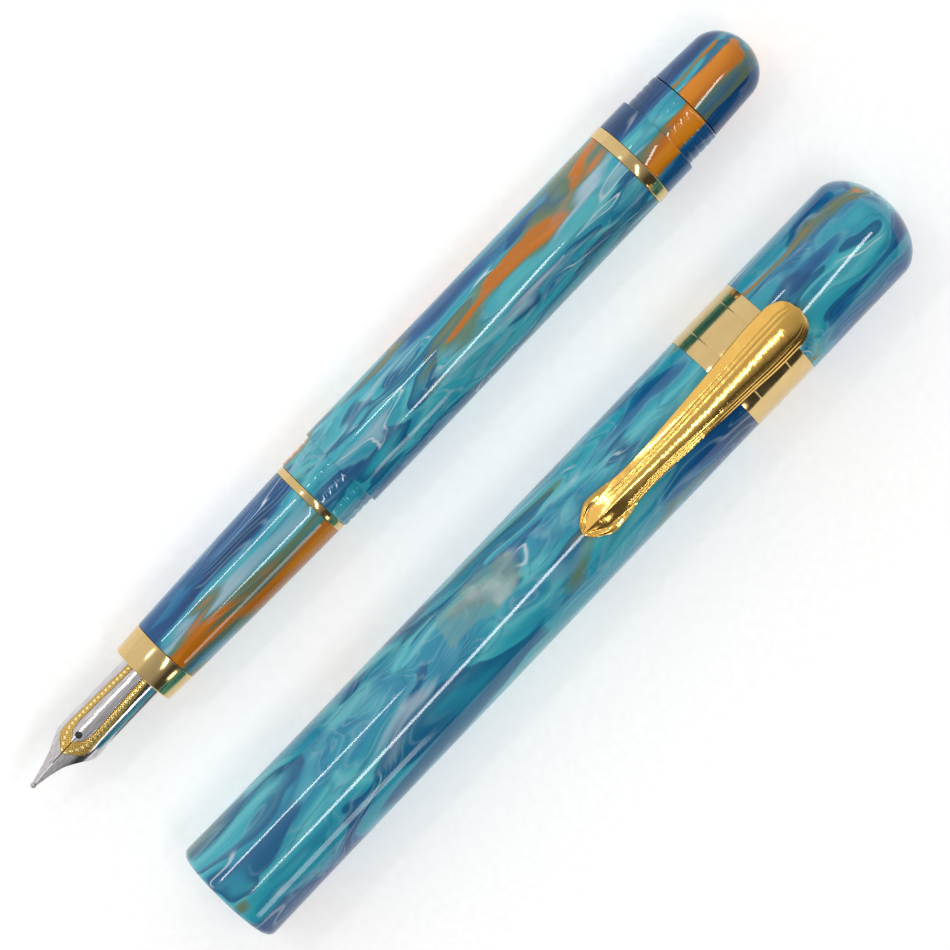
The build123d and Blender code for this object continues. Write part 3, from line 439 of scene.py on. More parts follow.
barrel_resin = resin(
    "barrel_resin", (3.1, 0.4, 5.2), (0.036, 0.17, 0.17), pen_line, barrel_front,
    [(-6, 0.0, -0.14), (-4, -0.02, -0.14), (-1, -0.02, -0.05), (1, 0.03, 0.05), (3, 0.0, 0.05),
     (6, 0.0, 0.09)],
    [(0, -0.02, 0.01), (15, -0.02, 0.0), (30, -0.01, 0.02), (52, -0.03, 0.01)],
    folding=1.7,
)
barrel.data.materials.append(barrel_resin)
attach(barrel, "barrel")
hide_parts("barrel")

# ---------------------------------------------------------------------------
# Rear ring
# Turned from brass and gold plated, then polished; held between barrel and stock.
# ---------------------------------------------------------------------------


def polish_group():
    """Fine turning lines round a plated ring and the soft mottling of a thin plate."""
    tree = bpy.data.node_groups.new("plate_polish", "ShaderNodeTree")
    face = tree.interface
    face.new_socket("Place", in_out="INPUT", socket_type="NodeSocketVector")
    face.new_socket("Pale", in_out="INPUT", socket_type="NodeSocketColor")
    face.new_socket("Deep", in_out="INPUT", socket_type="NodeSocketColor")
    face.new_socket("Smooth", in_out="INPUT", socket_type="NodeSocketFloat")
    face.new_socket("Rough", in_out="INPUT", socket_type="NodeSocketFloat")
    face.new_socket("Marks", in_out="INPUT", socket_type="NodeSocketVector")
    face.new_socket("Colour", in_out="OUTPUT", socket_type="NodeSocketColor")
    face.new_socket("Roughness", in_out="OUTPUT", socket_type="NodeSocketFloat")
    face.new_socket("Height", in_out="OUTPUT", socket_type="NodeSocketFloat")
    given = add_node(tree, "NodeGroupInput").outputs
    mottle = add_node(
        tree, "ShaderNodeTexNoise", {"Vector": given["Place"], "Scale": 0.6, "Detail": 4}
    ).outputs[0]
    tone = add_node(
        tree, "ShaderNodeMix", {0: mottle, 6: given["Pale"], 7: given["Deep"]}, data_type="RGBA"
    )
    level = add_node(
        tree, "ShaderNodeMapRange",
        {0: mottle, 1: 0.3, 2: 0.7, 3: given["Smooth"], 4: given["Rough"]},
    )
    drawn = add_node(
        tree, "ShaderNodeVectorMath", {0: given["Place"], 1: given["Marks"]}, operation="MULTIPLY"
    )
    lines = add_node(
        tree, "ShaderNodeTexNoise", {"Vector": drawn.outputs[0], "Scale": 1.0, "Detail": 3}
    )
    add_node(tree, "NodeGroupOutput", {
        "Colour": tone.outputs[2], "Roughness": level.outputs[0], "Height": lines.outputs[0],
    })
    return tree


plate_polish = polish_group()


def plated(
    name, pale, deep, smooth=0.08, rough=0.16, strength=0.06, marks=(14, 0.6, 0.6), depth=0.01
):
    """Plated and polished metal.

    marks says how close its tool marks are along X, Y and Z, and depth how deep in millimetres.
    """
    made, tree, shader = material(name)
    place = add_node(tree, "ShaderNodeTexCoord").outputs["Object"]
    millimetres = add_node(
        tree, "ShaderNodeMapping", {"Vector": place, "Scale": (1 / mm, 1 / mm, 1 / mm)}
    )
    polish = add_node(tree, "ShaderNodeGroup", node_tree=plate_polish)
    tree.links.new(millimetres.outputs[0], polish.inputs["Place"])
    polish.inputs["Pale"].default_value = pale
    polish.inputs["Deep"].default_value = deep
    polish.inputs["Smooth"].default_value = smooth
    polish.inputs["Rough"].default_value = rough
    polish.inputs["Marks"].default_value = marks
    tree.links.new(polish.outputs["Colour"], shader.inputs["Base Color"])
    tree.links.new(polish.outputs["Roughness"], shader.inputs["Roughness"])
    bump = add_node(
        tree, "ShaderNodeBump",
        {"Height": polish.outputs["Height"], "Strength": strength, "Distance": depth * mm},
    )
    tree.links.new(bump.outputs[0], shader.inputs["Normal"])
    shader.inputs["Metallic"].default_value = 1.0
    return made


pale_gold = plated("pale_gold_plate", colour(226, 198, 142), colour(214, 182, 122))
low, high = (Vector(corner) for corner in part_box("rear_ring"))
rear_ring_radius = (high.y - low.y) / 2
rear_ring = lathe(
    "rear_ring_turned",
    [
        (low.x, STOCK_SEAT_BORE),
        (low.x, rear_ring_radius),
        (high.x, rear_ring_radius),
        (high.x, STOCK_SEAT_BORE),
        (low.x, STOCK_SEAT_BORE),
    ],
    pen_line,
    edge=0.22 * mm,
)
rear_ring.data.materials.append(pale_gold)
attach(rear_ring, "barrel")
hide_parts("rear_ring")

# ---------------------------------------------------------------------------
# Piston stock
# Turned from another length of the same rod and glued into the barrel's rear; the
# thread on its end takes the cap when it is posted.
# ---------------------------------------------------------------------------
low, high = (Vector(corner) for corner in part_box("piston_stock"))
stock_end = high.x
ring_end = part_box("rear_ring")[1][0]
POST_LENGTH = 5.0 * mm
POST_CREST = 5.5 * mm
STOCK_TENON = 4.98 * mm
STOCK_SOCKET = 4.2 * mm
FLANGE_BORE = 3.65 * mm
SHANK_BORE = 1.95 * mm
post_start = stock_end - POST_LENGTH
flange_end = post_start - 0.8 * mm
flange_start = post_start - 2.45 * mm
stock = lathe(
    "stock_shell",
    [(ring_end, STOCK_TENON), (ring_end, barrel_radius), (post_start, barrel_radius)]
    + along(post_start, stock_end - THREAD_LEAD, POST_CREST, 44)
    + [
        (stock_end, POST_CREST - THREAD_LEAD),
        (stock_end, SHANK_BORE),
        (flange_end, SHANK_BORE),
        (flange_end, FLANGE_BORE),
        (flange_start, FLANGE_BORE),
        (flange_start, STOCK_SOCKET),
        (low.x, STOCK_SOCKET),
        (low.x, STOCK_TENON),
        (ring_end, STOCK_TENON),
    ],
    pen_line,
    edge=0.15 * mm,
)
cut_thread(stock, pen_line, post_start, stock_end - THREAD_LEAD, POST_CREST)
stock_resin = resin(
    "stock_resin", (7.7, 2.1, 9.4), (0.030, 0.16, 0.16), pen_line, ring_end,
    [(-6, 0.12, -0.15), (-4.4, 0.10, -0.1), (-3.4, 0.05, 0.16), (-2.2, 0.0, 0.24), (-1.4, 0.0, 0.16),
     (-0.6, -0.02, -0.06), (2, 0.04, -0.08), (3, 0.22, -0.2), (6, 0.24, -0.2)],
    [(0, 0.0, 0.0), (10, 0.0, 0.0)],
    folding=0.6, pearl=0.5,
)
stock.data.materials.append(stock_resin)
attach(stock, "barrel")
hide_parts("piston_stock")

# ---------------------------------------------------------------------------
# Piston knob
# Turned and domed from the same resin rod, then polished; the brass spindle is pressed
# into it, and it turns against the stock at a fine seam.
# ---------------------------------------------------------------------------
low, high = (Vector(corner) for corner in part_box("piston_knob"))
KNOB_DOME = 4.4 * mm
KNOB_REAR = 5.05 * mm
KNOB_BORE = 1.62 * mm
PRESSED_GAP = 0.02 * mm
knob_front_radius = (high.y - low.y) / 2
knob_front = low.x
knob_bore_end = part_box("drive_spindle")[1][0] + PRESSED_GAP
dome_start = high.x - KNOB_DOME


def dome(start, length, radius, count=28):
    """Outline points of a rounded end, from its edge to the axis."""
    turns = [pi / 2 * i / count for i in range(count + 1)]
    return [(start + length * sin(turn), radius * cos(turn)) for turn in turns]


knob = lathe(
    "knob_shell",
    [
        (knob_bore_end, 0),
        (knob_bore_end, KNOB_BORE),
        (knob_front, KNOB_BORE),
        (knob_front, knob_front_radius),
    ]
    + dome(dome_start, KNOB_DOME, KNOB_REAR),
    pen_line,
    edge=0.04 * mm,
)
knob_resin = resin(
    "knob_resin", (1.3, 4.2, 7.9), (0.030, 0.15, 0.15), pen_line, knob_front,
    [(-5.5, 0.26, -0.2), (-3.3, 0.2, -0.12), (-2.7, 0.05, 0.22), (1.2, 0.0, 0.28), (1.8, -0.04, -0.05),
     (2.3, -0.02, 0.0), (2.9, 0.0, 0.20), (3.4, 0.1, 0.02), (4.0, 0.2, -0.2), (5.5, 0.22, -0.2)],
    [(0, 0.0, 0.0), (8, 0.0, 0.0), (11, 0.02, -0.08)],
    folding=0.5, pearl=0.25,
)
knob.data.materials.append(knob_resin)
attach(knob, "knob")
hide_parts("piston_knob")

# ---------------------------------------------------------------------------
# Grip section
# Turned convex from the rod, bored for the nib's housing, with a tenon that screws
# into the barrel.
# ---------------------------------------------------------------------------
low, high = (Vector(corner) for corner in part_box("grip_section"))
grip_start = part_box("nose_ring")[1][0]
grip_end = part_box("section_ring")[0][0]
GRIP_FRONT = 4.80 * mm
GRIP_MIDDLE = 5.17 * mm
grip_rear = (high.y - low.y) / 2
grip_length = grip_end - grip_start
HOUSING_BORE = 3.76 * mm
HOUSING_DEPTH = 15 * mm
INK_BORE = 2.6 * mm
NOSE_SPIGOT = 4.3 * mm
GRIP_TENON = 4.15 * mm
housing_end = low.x + HOUSING_DEPTH


def grip_outline(count=30):
    """The grip's swelling, a parabola through its front, middle and rear radii."""
    swell = 4 * (GRIP_MIDDLE - (GRIP_FRONT + grip_rear) / 2)
    points = []
    for i in range(count + 1):
        t = i / count
        radius = GRIP_FRONT + (grip_rear - GRIP_FRONT) * t + swell * t * (1 - t)
        points.append((grip_start + grip_length * t, radius))
    return points


grip = lathe(
    "grip_shell",
    [(low.x, HOUSING_BORE), (low.x, NOSE_SPIGOT), (grip_start, NOSE_SPIGOT)]
    + grip_outline()
    + [
        (grip_end, GRIP_TENON),
        (high.x, GRIP_TENON),
        (high.x, INK_BORE),
        (housing_end, INK_BORE),
        (housing_end, HOUSING_BORE),
        (low.x, HOUSING_BORE),
    ],
    pen_line,
    edge=0.08 * mm,
)
grip_resin = resin(
    "grip_resin", (11.2, 6.3, 2.2), (0.032, 0.20, 0.20), pen_line, grip_start,
    [(-5.2, 0.04, 0.14), (-3, 0.02, 0.13), (-1, 0.0, 0.14), (0.4, -0.03, 0.03), (1.6, 0.0, -0.02),
     (2.4, 0.16, -0.2), (5.2, 0.22, -0.2)],
    [(0, 0.0, 0.05), (8, 0.0, 0.03), (14, 0.0, 0.0), (27, 0.0, 0.05)],
    folding=0.8, pearl=1.0,
)
grip.data.materials.append(grip_resin)
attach(grip, "section")
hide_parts("grip_section")

# ---------------------------------------------------------------------------
# Section ring and nose ring
# Plated rings of the grip: a thin one against the barrel's thread and a sleeve
# with a rounded lip round the nib.
# ---------------------------------------------------------------------------
low, high = (Vector(corner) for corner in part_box("section_ring"))
RING_BORE = 4.2 * mm
ring_radius = (high.y - low.y) / 2
section_ring = lathe(
    "section_ring_turned",
    [
        (low.x, RING_BORE),
        (low.x, ring_radius),
        (high.x, ring_radius),
        (high.x, RING_BORE),
        (low.x, RING_BORE),
    ],
    pen_line,
    edge=0.14 * mm,
)
section_ring.data.materials.append(pale_gold)
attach(section_ring, "section_joint")
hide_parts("section_ring")

low, high = (Vector(corner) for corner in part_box("nose_ring"))
nose_radius = (high.y - low.y) / 2
NOSE_FRONT = 4.60 * mm
NOSE_BORE = 4.32 * mm
LIP_BORE = 3.48 * mm
LIP_LENGTH = 0.7 * mm
nose_ring = lathe(
    "nose_ring_turned",
    [
        (low.x, LIP_BORE),
        (low.x, NOSE_FRONT),
        (high.x, nose_radius),
        (high.x, NOSE_BORE),
        (low.x + LIP_LENGTH, NOSE_BORE),
        (low.x + LIP_LENGTH, LIP_BORE),
        (low.x, LIP_BORE),
    ],
    pen_line,
    edge=0.25 * mm,
)
nose_ring.data.materials.append(pale_gold)
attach(nose_ring, "section")
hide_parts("nose_ring")

# ---------------------------------------------------------------------------
# Nib
# Steel sheet, pressed round the feed and polished, with two gold-plated bands of
# engraved beads that meet ahead of the breather hole; a pellet is welded to its point.
# ---------------------------------------------------------------------------


def through(points):
    """A smooth curve through (place, value) points that never overshoots them."""
    gaps = [(b[0] - a[0], (b[1] - a[1]) / (b[0] - a[0])) for a, b in zip(points, points[1:])]
    slopes = [gaps[0][1]]
    for (_, before), (_, after) in zip(gaps, gaps[1:]):
        slopes.append(2 * before * after / (before + after) if before * after > 0 else 0)
    slopes.append(gaps[-1][1])

    def value(x):
        x = min(max(x, points[0][0]), points[-1][0])
        i = max(k for k in range(len(gaps)) if k == 0 or points[k][0] <= x)
        width = gaps[i][0]
        t = (x - points[i][0]) / width
        low, high = points[i][1], points[i + 1][1]
        bend = (1 - t) * slopes[i] * width + t * -slopes[i + 1] * width
        return low + (high - low) * (3 * t * t - 2 * t**3) + t * (1 - t) * bend

    return value


def pressed_sheet(name, columns, rows, top, under):
    """A closed sheet: a divided grid is extruded, then its two faces take the shapes top and under."""
    bpy.ops.object.select_all(action="DESELECT")
    bpy.ops.mesh.primitive_grid_add(x_subdivisions=columns, y_subdivisions=rows, size=2)
    piece = bpy.context.object
    piece.name = name
    bpy.ops.object.mode_set(mode="EDIT")
    bpy.ops.mesh.select_all(action="SELECT")
    bpy.ops.mesh.extrude_region_move(TRANSFORM_OT_translate={"value": (0, 0, -1)})
    bpy.ops.mesh.select_all(action="SELECT")
    bpy.ops.mesh.normals_make_consistent(inside=False)
    bpy.ops.object.mode_set(mode="OBJECT")
    for vertex in piece.data.vertices:
        along_share, across_share = (vertex.co.x + 1) / 2, vertex.co.y
        shape = top if vertex.co.z > -0.5 else under
        vertex.co = shape(along_share, across_share)
    return piece


def turn_about(piece, line, degrees):
    """Rolls a finished mesh about a line along X."""
    centre = Matrix.Translation(line)
    piece.data.transform(centre @ Matrix.Rotation(radians(degrees), 4, "X") @ centre.inverted())


nib_low, nib_high = (Vector(corner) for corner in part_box("nib"))
nib_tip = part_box("nib_tipping")[0][0]
nib_start, nib_end = nib_low.x - nib_tip, nib_high.x - nib_tip
NIB_RADIUS = 3.20 * mm
NIB_TIP_HEIGHT = 1.74 * mm
NIB_BEND = 9.5 * mm
NIB_THICKNESS = 0.26 * mm
NIB_ROLL = -9.0
BREATHER = 9.1 * mm
BREATHER_RADIUS = 0.47 * mm
SLIT = 0.10 * mm
nib_drop = NIB_RADIUS - NIB_TIP_HEIGHT
nib_bend_radius = (NIB_BEND**2 + nib_drop**2) / (2 * nib_drop)
nib_half_width = through([
    (nib_start, 0.36 * mm), (2.8 * mm, 0.80 * mm), (4.8 * mm, 1.38 * mm), (6.6 * mm, 2.34 * mm),
    (7.7 * mm, 2.98 * mm), (8.5 * mm, 3.18 * mm), (9.4 * mm, 3.17 * mm), (13.0 * mm, 2.95 * mm),
    (nib_end, 2.80 * mm),
])


def nib_point(share, across, depth):
    """A point of the sheet: it lies on a cylinder that bends down towards the tip."""
    station = nib_start + (nib_end - nib_start) * share
    ahead = max(0, NIB_BEND - station)
    radius = NIB_RADIUS - nib_bend_radius + sqrt(nib_bend_radius**2 - ahead**2)
    curl = across * asin(min(0.995, nib_half_width(station) / radius))
    radius -= depth
    return Vector((nib_tip + station, pen_line.y + radius * sin(curl), pen_line.z + radius * cos(curl)))


nib = pressed_sheet(
    "nib_sheet", 180, 60,
    lambda share, across: nib_point(share, across, 0),
    lambda share, across: nib_point(share, across, NIB_THICKNESS),
)


def cut_by(piece, cutter):
    """Subtracts a cutter from a piece and removes the cutter."""
    boolean = piece.modifiers.new("cut", "BOOLEAN")
    boolean.operation = "DIFFERENCE"
    boolean.object = cutter
    boolean.solver = "EXACT"
    bpy.ops.object.select_all(action="DESELECT")
    piece.select_set(True)
    bpy.context.view_layer.objects.active = piece
    bpy.ops.object.modifier_apply(modifier=boolean.name)
    bpy.data.objects.remove(cutter)


bpy.ops.mesh.primitive_cylinder_add(
    vertices=48, radius=BREATHER_RADIUS, depth=2 * mm,
    location=(nib_tip + BREATHER, pen_line.y, pen_line.z + NIB_RADIUS),
)
cut_by(nib, bpy.context.object)
bpy.ops.mesh.primitive_cube_add(
    size=1, location=(nib_tip + BREATHER / 2, pen_line.y, pen_line.z + NIB_RADIUS)
)
bpy.context.object.scale = (BREATHER, SLIT, 6 * mm)
cut_by(nib, bpy.context.object)
turn_about(nib, pen_line, NIB_ROLL)
bpy.ops.object.shade_smooth_by_angle(angle=radians(35))

nib_metal, tree, shader = material("two_tone_nib")


def maths(operation, *values):
    """A maths node in the material being built."""
    return add_node(tree, "ShaderNodeMath", dict(enumerate(values)), operation=operation).outputs[0]


def span(value, *limits, smooth=True):
    """Maps a value from low..high onto 0..1, or onto the two further limits."""
    kind = "SMOOTHSTEP" if smooth else "LINEAR"
    return add_node(
        tree, "ShaderNodeMapRange", {0: value, **{i + 1: limit for i, limit in enumerate(limits)}},
        interpolation_type=kind,
    ).outputs[0]


object_place = add_node(tree, "ShaderNodeTexCoord").outputs["Object"]
station = add_node(tree, "ShaderNodeSeparateXYZ", {0: object_place}).outputs[0]
station = maths("DIVIDE", maths("SUBTRACT", station, nib_tip), mm)
nib_local = add_node(
    tree, "ShaderNodeMapping",
    {"Vector": object_place, "Location": (0, -pen_line.y / mm, -pen_line.z / mm),
     "Scale": (1 / mm, 1 / mm, 1 / mm)},
)
upright = add_node(
    tree, "ShaderNodeVectorRotate",
    {"Vector": nib_local.outputs[0], "Angle": radians(-NIB_ROLL)}, rotation_type="X_AXIS",
)
upright = add_node(tree, "ShaderNodeSeparateXYZ", {0: upright.outputs[0]})
curl = maths("ARCTAN2", upright.outputs["Y"], upright.outputs["Z"])
across = maths("MULTIPLY", maths("ABSOLUTE", curl), NIB_RADIUS / mm)


def edge_line(*stretches):
    """How far an edge of the gilt band lies from the slit: rises over stretches of (start, end, rise)."""
    line = None
    for start, end, rise in stretches:
        kind = "SUBTRACT" if rise < 0 else "ADD"
        step = span(station, start, end, 0, abs(rise), smooth=False)
        line = step if line is None else maths(kind, line, step)
    return line


inner_edge = edge_line((7.8, 9.0, 1.0), (9.0, 10.4, 0.30), (10.4, 19.9, -0.42))
outer_edge = edge_line((5.8, 7.6, 2.42), (7.6, 9.0, 0.20), (9.0, 19.9, -0.72))
from_inner = maths("SUBTRACT", across, inner_edge)
from_outer = maths("SUBTRACT", outer_edge, across)
gilt = maths("MULTIPLY", span(from_inner, -0.03, 0.03), span(from_outer, -0.03, 0.03))
gilt = maths("MULTIPLY", gilt, span(station, 5.75, 5.85))
BEAD_PITCH = 0.66
HATCH_PITCH = 0.165
bead_along = maths("SUBTRACT", maths("MODULO", station, BEAD_PITCH), BEAD_PITCH / 2)
bead_across = maths("MULTIPLY", maths("SUBTRACT", from_inner, from_outer), 0.5)
bead_place = add_node(tree, "ShaderNodeCombineXYZ", {0: bead_along, 1: bead_across})
bead_far = add_node(tree, "ShaderNodeVectorMath", {0: bead_place.outputs[0]}, operation="LENGTH")
bead = maths("SUBTRACT", 1.0, span(bead_far.outputs["Value"], 0.10, 0.31))
hatch_one = maths("PINGPONG", maths("ADD", station, across), HATCH_PITCH)
hatch_two = maths("PINGPONG", maths("SUBTRACT", station, across), HATCH_PITCH)
hatch = span(maths("MINIMUM", hatch_one, hatch_two), 0.0, 0.07)
engraving_and_glints = maths("MAXIMUM", bead, maths("MULTIPLY", hatch, 0.45))
border = maths("MULTIPLY", span(from_inner, 0.04, 0.13), span(from_outer, 0.04, 0.13))
engraving_and_glints = maths("MULTIPLY", engraving_and_glints, border)
# Gilt colour from the engraving, with its light painted in: painted glints, near white, on the bead tops,
# and painted shade, dark brown, in the gaps between beads and hatching.
gilt_with_painted_glints = ramp(tree, engraving_and_glints, [
    (0.0, colour(168, 122, 50)), (0.3, colour(228, 188, 98)), (0.8, colour(250, 222, 138)),
    (1.0, colour(255, 246, 204)),
])
brushing = add_node(
    tree, "ShaderNodeMapping", {"Vector": nib_local.outputs[0], "Scale": (0.5, 7, 7)}
)
brushed = add_node(
    tree, "ShaderNodeTexNoise", {"Vector": brushing.outputs[0], "Scale": 1.0, "Detail": 5}
).outputs[0]
silver_tone = ramp(tree, brushed, [(0.3, colour(172, 168, 172)), (0.7, colour(230, 227, 228))])
# A fine groove along the gilt band's inner edge on the nib's body: the bump below sinks it, and painted
# shade, a dark purple-grey, is laid into the steel along it.
groove_with_painted_shade = maths("SUBTRACT", 1.0, span(maths("ABSOLUTE", from_inner), 0.02, 0.09))
groove_with_painted_shade = maths("MULTIPLY", groove_with_painted_shade, span(station, 7.9, 8.4))
silver_tone = add_node(
    tree, "ShaderNodeMix", {0: maths("MULTIPLY", groove_with_painted_shade, 0.8), 6: silver_tone, 7: colour(70, 56, 66)},
    data_type="RGBA",
).outputs[2]
tone = add_node(tree, "ShaderNodeMix", {0: gilt, 6: silver_tone, 7: gilt_with_painted_glints}, data_type="RGBA")
tree.links.new(tone.outputs[2], shader.inputs["Base Color"])
tree.links.new(span(gilt, 0, 1, 0.09, 0.22, smooth=False), shader.inputs["Roughness"])
relief = maths("ADD", maths("MULTIPLY", gilt, engraving_and_glints), maths("MULTIPLY", brushed, 0.10))
relief = maths("SUBTRACT", relief, maths("MULTIPLY", groove_with_painted_shade, 0.5))
bump = add_node(tree, "ShaderNodeBump", {"Height": relief, "Strength": 0.8, "Distance": 0.10 * mm})
tree.links.new(bump.outputs[0], shader.inputs["Normal"])
shader.inputs["Metallic"].default_value = 1.0
nib.data.materials.append(nib_metal)
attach(nib, "nib_unit")
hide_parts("nib")

tip_metal = plated("tip_metal", colour(214, 206, 200), colour(186, 178, 172), 0.15, 0.25)
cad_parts["nib_tipping"].data.materials.clear()
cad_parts["nib_tipping"].data.materials.append(tip_metal)

# ---------------------------------------------------------------------------
# Moulded and turned pieces inside
# The feed and its housing are black plastic, the piston and its rod pale plastic,
# the spindle turned brass, and the seals soft rubber.
# ---------------------------------------------------------------------------


def moulded(name, dark, light, roughness, bumps):
    """Moulded plastic or rubber with a fine texture."""
    made, tree, shader = material(name)
    place = add_node(tree, "ShaderNodeTexCoord").outputs["Object"]
    grain = add_node(tree, "ShaderNodeTexNoise", {"Vector": place, "Scale": 1.5 / mm, "Detail": 5})
    tone = ramp(tree, grain.outputs[0], [(0.3, dark), (0.7, light)])
    tree.links.new(tone, shader.inputs["Base Color"])
    level = add_node(
        tree, "ShaderNodeMapRange",
        {0: grain.outputs[0], 1: 0.3, 2: 0.7, 3: roughness, 4: roughness + 0.12},
    )
    tree.links.new(level.outputs[0], shader.inputs["Roughness"])
    bump = add_node(
        tree, "ShaderNodeBump", {"Height": grain.outputs[0], "Strength": bumps, "Distance": 0.02 * mm}
    )
    tree.links.new(bump.outputs[0], shader.inputs["Normal"])
    return made


black_plastic = moulded("black_plastic", colour(16, 16, 18), colour(34, 34, 36), 0.30, 0.25)
pale_plastic = moulded("pale_plastic", colour(206, 208, 198), colour(226, 228, 220), 0.25, 0.10)
seal_rubber = moulded("seal_rubber", colour(14, 14, 14), colour(30, 29, 28), 0.60, 0.40)
turned_brass = plated("turned_brass", colour(216, 178, 104), colour(196, 150, 78), 0.18, 0.30, 0.3)
bright_steel = plated("bright_steel", colour(205, 203, 198), colour(180, 178, 174), 0.12, 0.22, 0.2)
for node, finish in (
    ("feed", black_plastic),
    ("nib_housing", black_plastic),
    ("rod_guide", black_plastic),
    ("piston_rod", pale_plastic),
    ("piston_head", pale_plastic),
    ("inner_cap", pale_plastic),
    ("thread_sleeve", pale_plastic),
    ("piston_seal_front", seal_rubber),
    ("piston_seal_rear", seal_rubber),
    ("section_seal", seal_rubber),
    ("drive_spindle", turned_brass),
    ("clip_pin", bright_steel),
    ("clip_bracket", pale_gold),
):
    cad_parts[node].data.materials.clear()
    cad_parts[node].data.materials.append(finish)

# ---------------------------------------------------------------------------
# Cap tube and crown
# Turned from a wider rod whose swirl is cloudier; the mouth is rounded over and
# the crown, domed, screws through the band into the tube.
# ---------------------------------------------------------------------------
low, high = (Vector(corner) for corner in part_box("cap_tube"))
crown_low, crown_high = (Vector(corner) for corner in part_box("crown"))
cap_line = (crown_low + crown_high) / 2
mouth, tube_end = low.x, high.x
CAP_RADIUS = 7.55 * mm
LIP_RADIUS = 7.69 * mm
LIP_TAPER = 24 * mm
LIP_ROUNDING = 1.1 * mm
CAP_BORE = 6.35 * mm
NECK_BORE = 5.65 * mm
CROWN_SEAT = 5.97 * mm
BAND_SEAT = 6.52 * mm
BAND_SEAT_LENGTH = 6.0 * mm
CROWN_SEAT_LENGTH = 11.0 * mm
sleeve_low, sleeve_high = (Vector(corner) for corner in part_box("thread_sleeve"))


def rounded_mouth(count=10):
    """The mouth's rolled edge and the slight flare behind it, from the bore outwards."""
    turns = [pi / 2 * i / count for i in range(count, -1, -1)]
    rolled = [
        (mouth + LIP_ROUNDING * (1 - sin(turn)), LIP_RADIUS - LIP_ROUNDING * (1 - cos(turn)))
        for turn in turns
    ]
    flare = [
        (mouth + LIP_TAPER * t, LIP_RADIUS - (LIP_RADIUS - CAP_RADIUS) * (1 - (1 - t) ** 2))
        for t in (0.15, 0.3, 0.5, 0.75, 1.0)
    ]
    return rolled + flare


cap_tube = lathe(
    "cap_tube_shell",
    [(mouth, CAP_BORE)]
    + rounded_mouth()
    + [
        (tube_end, CAP_RADIUS),
        (tube_end, BAND_SEAT),
        (tube_end - BAND_SEAT_LENGTH, BAND_SEAT),
        (tube_end - BAND_SEAT_LENGTH, CROWN_SEAT),
        (tube_end - CROWN_SEAT_LENGTH, CROWN_SEAT),
        (tube_end - CROWN_SEAT_LENGTH, NECK_BORE),
        (sleeve_high.x, NECK_BORE),
        (sleeve_high.x, CAP_BORE),
        (mouth, CAP_BORE),
    ],
    cap_line,
    edge=0.06 * mm,
    steps=200,
)
cap_resin = resin(
    "cap_resin", (8.3, 4.1, 6.3), (0.030, 0.105, 0.105), cap_line, mouth,
    [(-7.6, 0.03, 0.04), (-5.5, 0.07, 0.0), (-3, 0.03, -0.04), (-1, -0.09, -0.07), (3, -0.12, -0.08),
     (5.5, -0.06, -0.03), (7.6, 0.03, 0.02)],
    [(0, 0.0, -0.02), (14, -0.01, -0.02), (28, -0.03, -0.05), (58, -0.05, -0.04), (70, -0.03, 0.0),
     (80, 0.02, 0.05), (88, 0.10, 0.02)],
    folding=1.9, pearl=0.8,
)

# The pale sleeve shows faintly through the cap as a slanting cloudy patch.
tree = cap_resin.node_tree
shader = tree.nodes["Principled BSDF"]
swirl_colour = shader.inputs["Base Color"].links[0].from_socket
place = add_node(tree, "ShaderNodeTexCoord").outputs["Object"]
stir = add_node(tree, "ShaderNodeTexNoise", {"Vector": place, "Scale": 0.16 / mm, "Detail": 3})
stir = add_node(tree, "ShaderNodeMapRange", {0: stir.outputs[0], 3: -1.6 * mm, 4: 1.6 * mm}).outputs[0]
parts = add_node(tree, "ShaderNodeSeparateXYZ", {0: place}).outputs
GLOW_SLANT = 0.45
slant = add_node(
    tree, "ShaderNodeMath", {0: parts["Y"], 1: -GLOW_SLANT, 2: parts["X"]}, operation="MULTIPLY_ADD"
)
slant = add_node(tree, "ShaderNodeMath", {0: slant.outputs[0], 1: stir}).outputs[0]
side = add_node(tree, "ShaderNodeMath", {0: parts["Y"], 1: stir}).outputs[0]
GLOW_LENGTH = 12.5 * mm
GLOW_AHEAD = 11.0 * mm
GLOW_STRENGTH = 0.62
glow_start = sleeve_low.x - GLOW_AHEAD - GLOW_SLANT * cap_line.y
glow = None
for value, from_edge, to_edge in (
    (slant, glow_start, glow_start + 0.5 * mm),
    (slant, glow_start + GLOW_LENGTH + 2.0 * mm, glow_start + GLOW_LENGTH),
    (side, cap_line.y + 0.4 * mm, cap_line.y + 1.1 * mm),
    (side, cap_line.y + 5.6 * mm, cap_line.y + 4.6 * mm),
):
    edge = add_node(
        tree, "ShaderNodeMapRange", {0: value, 1: from_edge, 2: to_edge}, interpolation_type="SMOOTHSTEP"
    ).outputs[0]
    glow = edge if glow is None else add_node(
        tree, "ShaderNodeMath", {0: glow, 1: edge}, operation="MULTIPLY"
    ).outputs[0]
cloudy = add_node(
    tree, "ShaderNodeMapping", {"Vector": place, "Scale": (0.20 / mm, 0.16 / mm, 0.16 / mm)}
)
cloudy = add_node(tree, "ShaderNodeTexNoise", {"Vector": cloudy.outputs[0], "Scale": 1.0, "Detail": 3})
pale = ramp(tree, cloudy.outputs[0], [
    (0.38, colour(110, 168, 172)), (0.50, colour(142, 166, 150)), (0.60, colour(182, 192, 182)),
    (0.72, colour(214, 218, 210)),
])
glow = add_node(tree, "ShaderNodeMath", {0: glow, 1: GLOW_STRENGTH}, operation="MULTIPLY").outputs[0]
seen = add_node(tree, "ShaderNodeMix", {0: glow, 6: swirl_colour, 7: pale}, data_type="RGBA")
tree.links.new(seen.outputs[2], shader.inputs["Base Color"])
cap_tube.data.materials.append(cap_resin)
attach(cap_tube, "cap")
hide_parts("cap_tube")

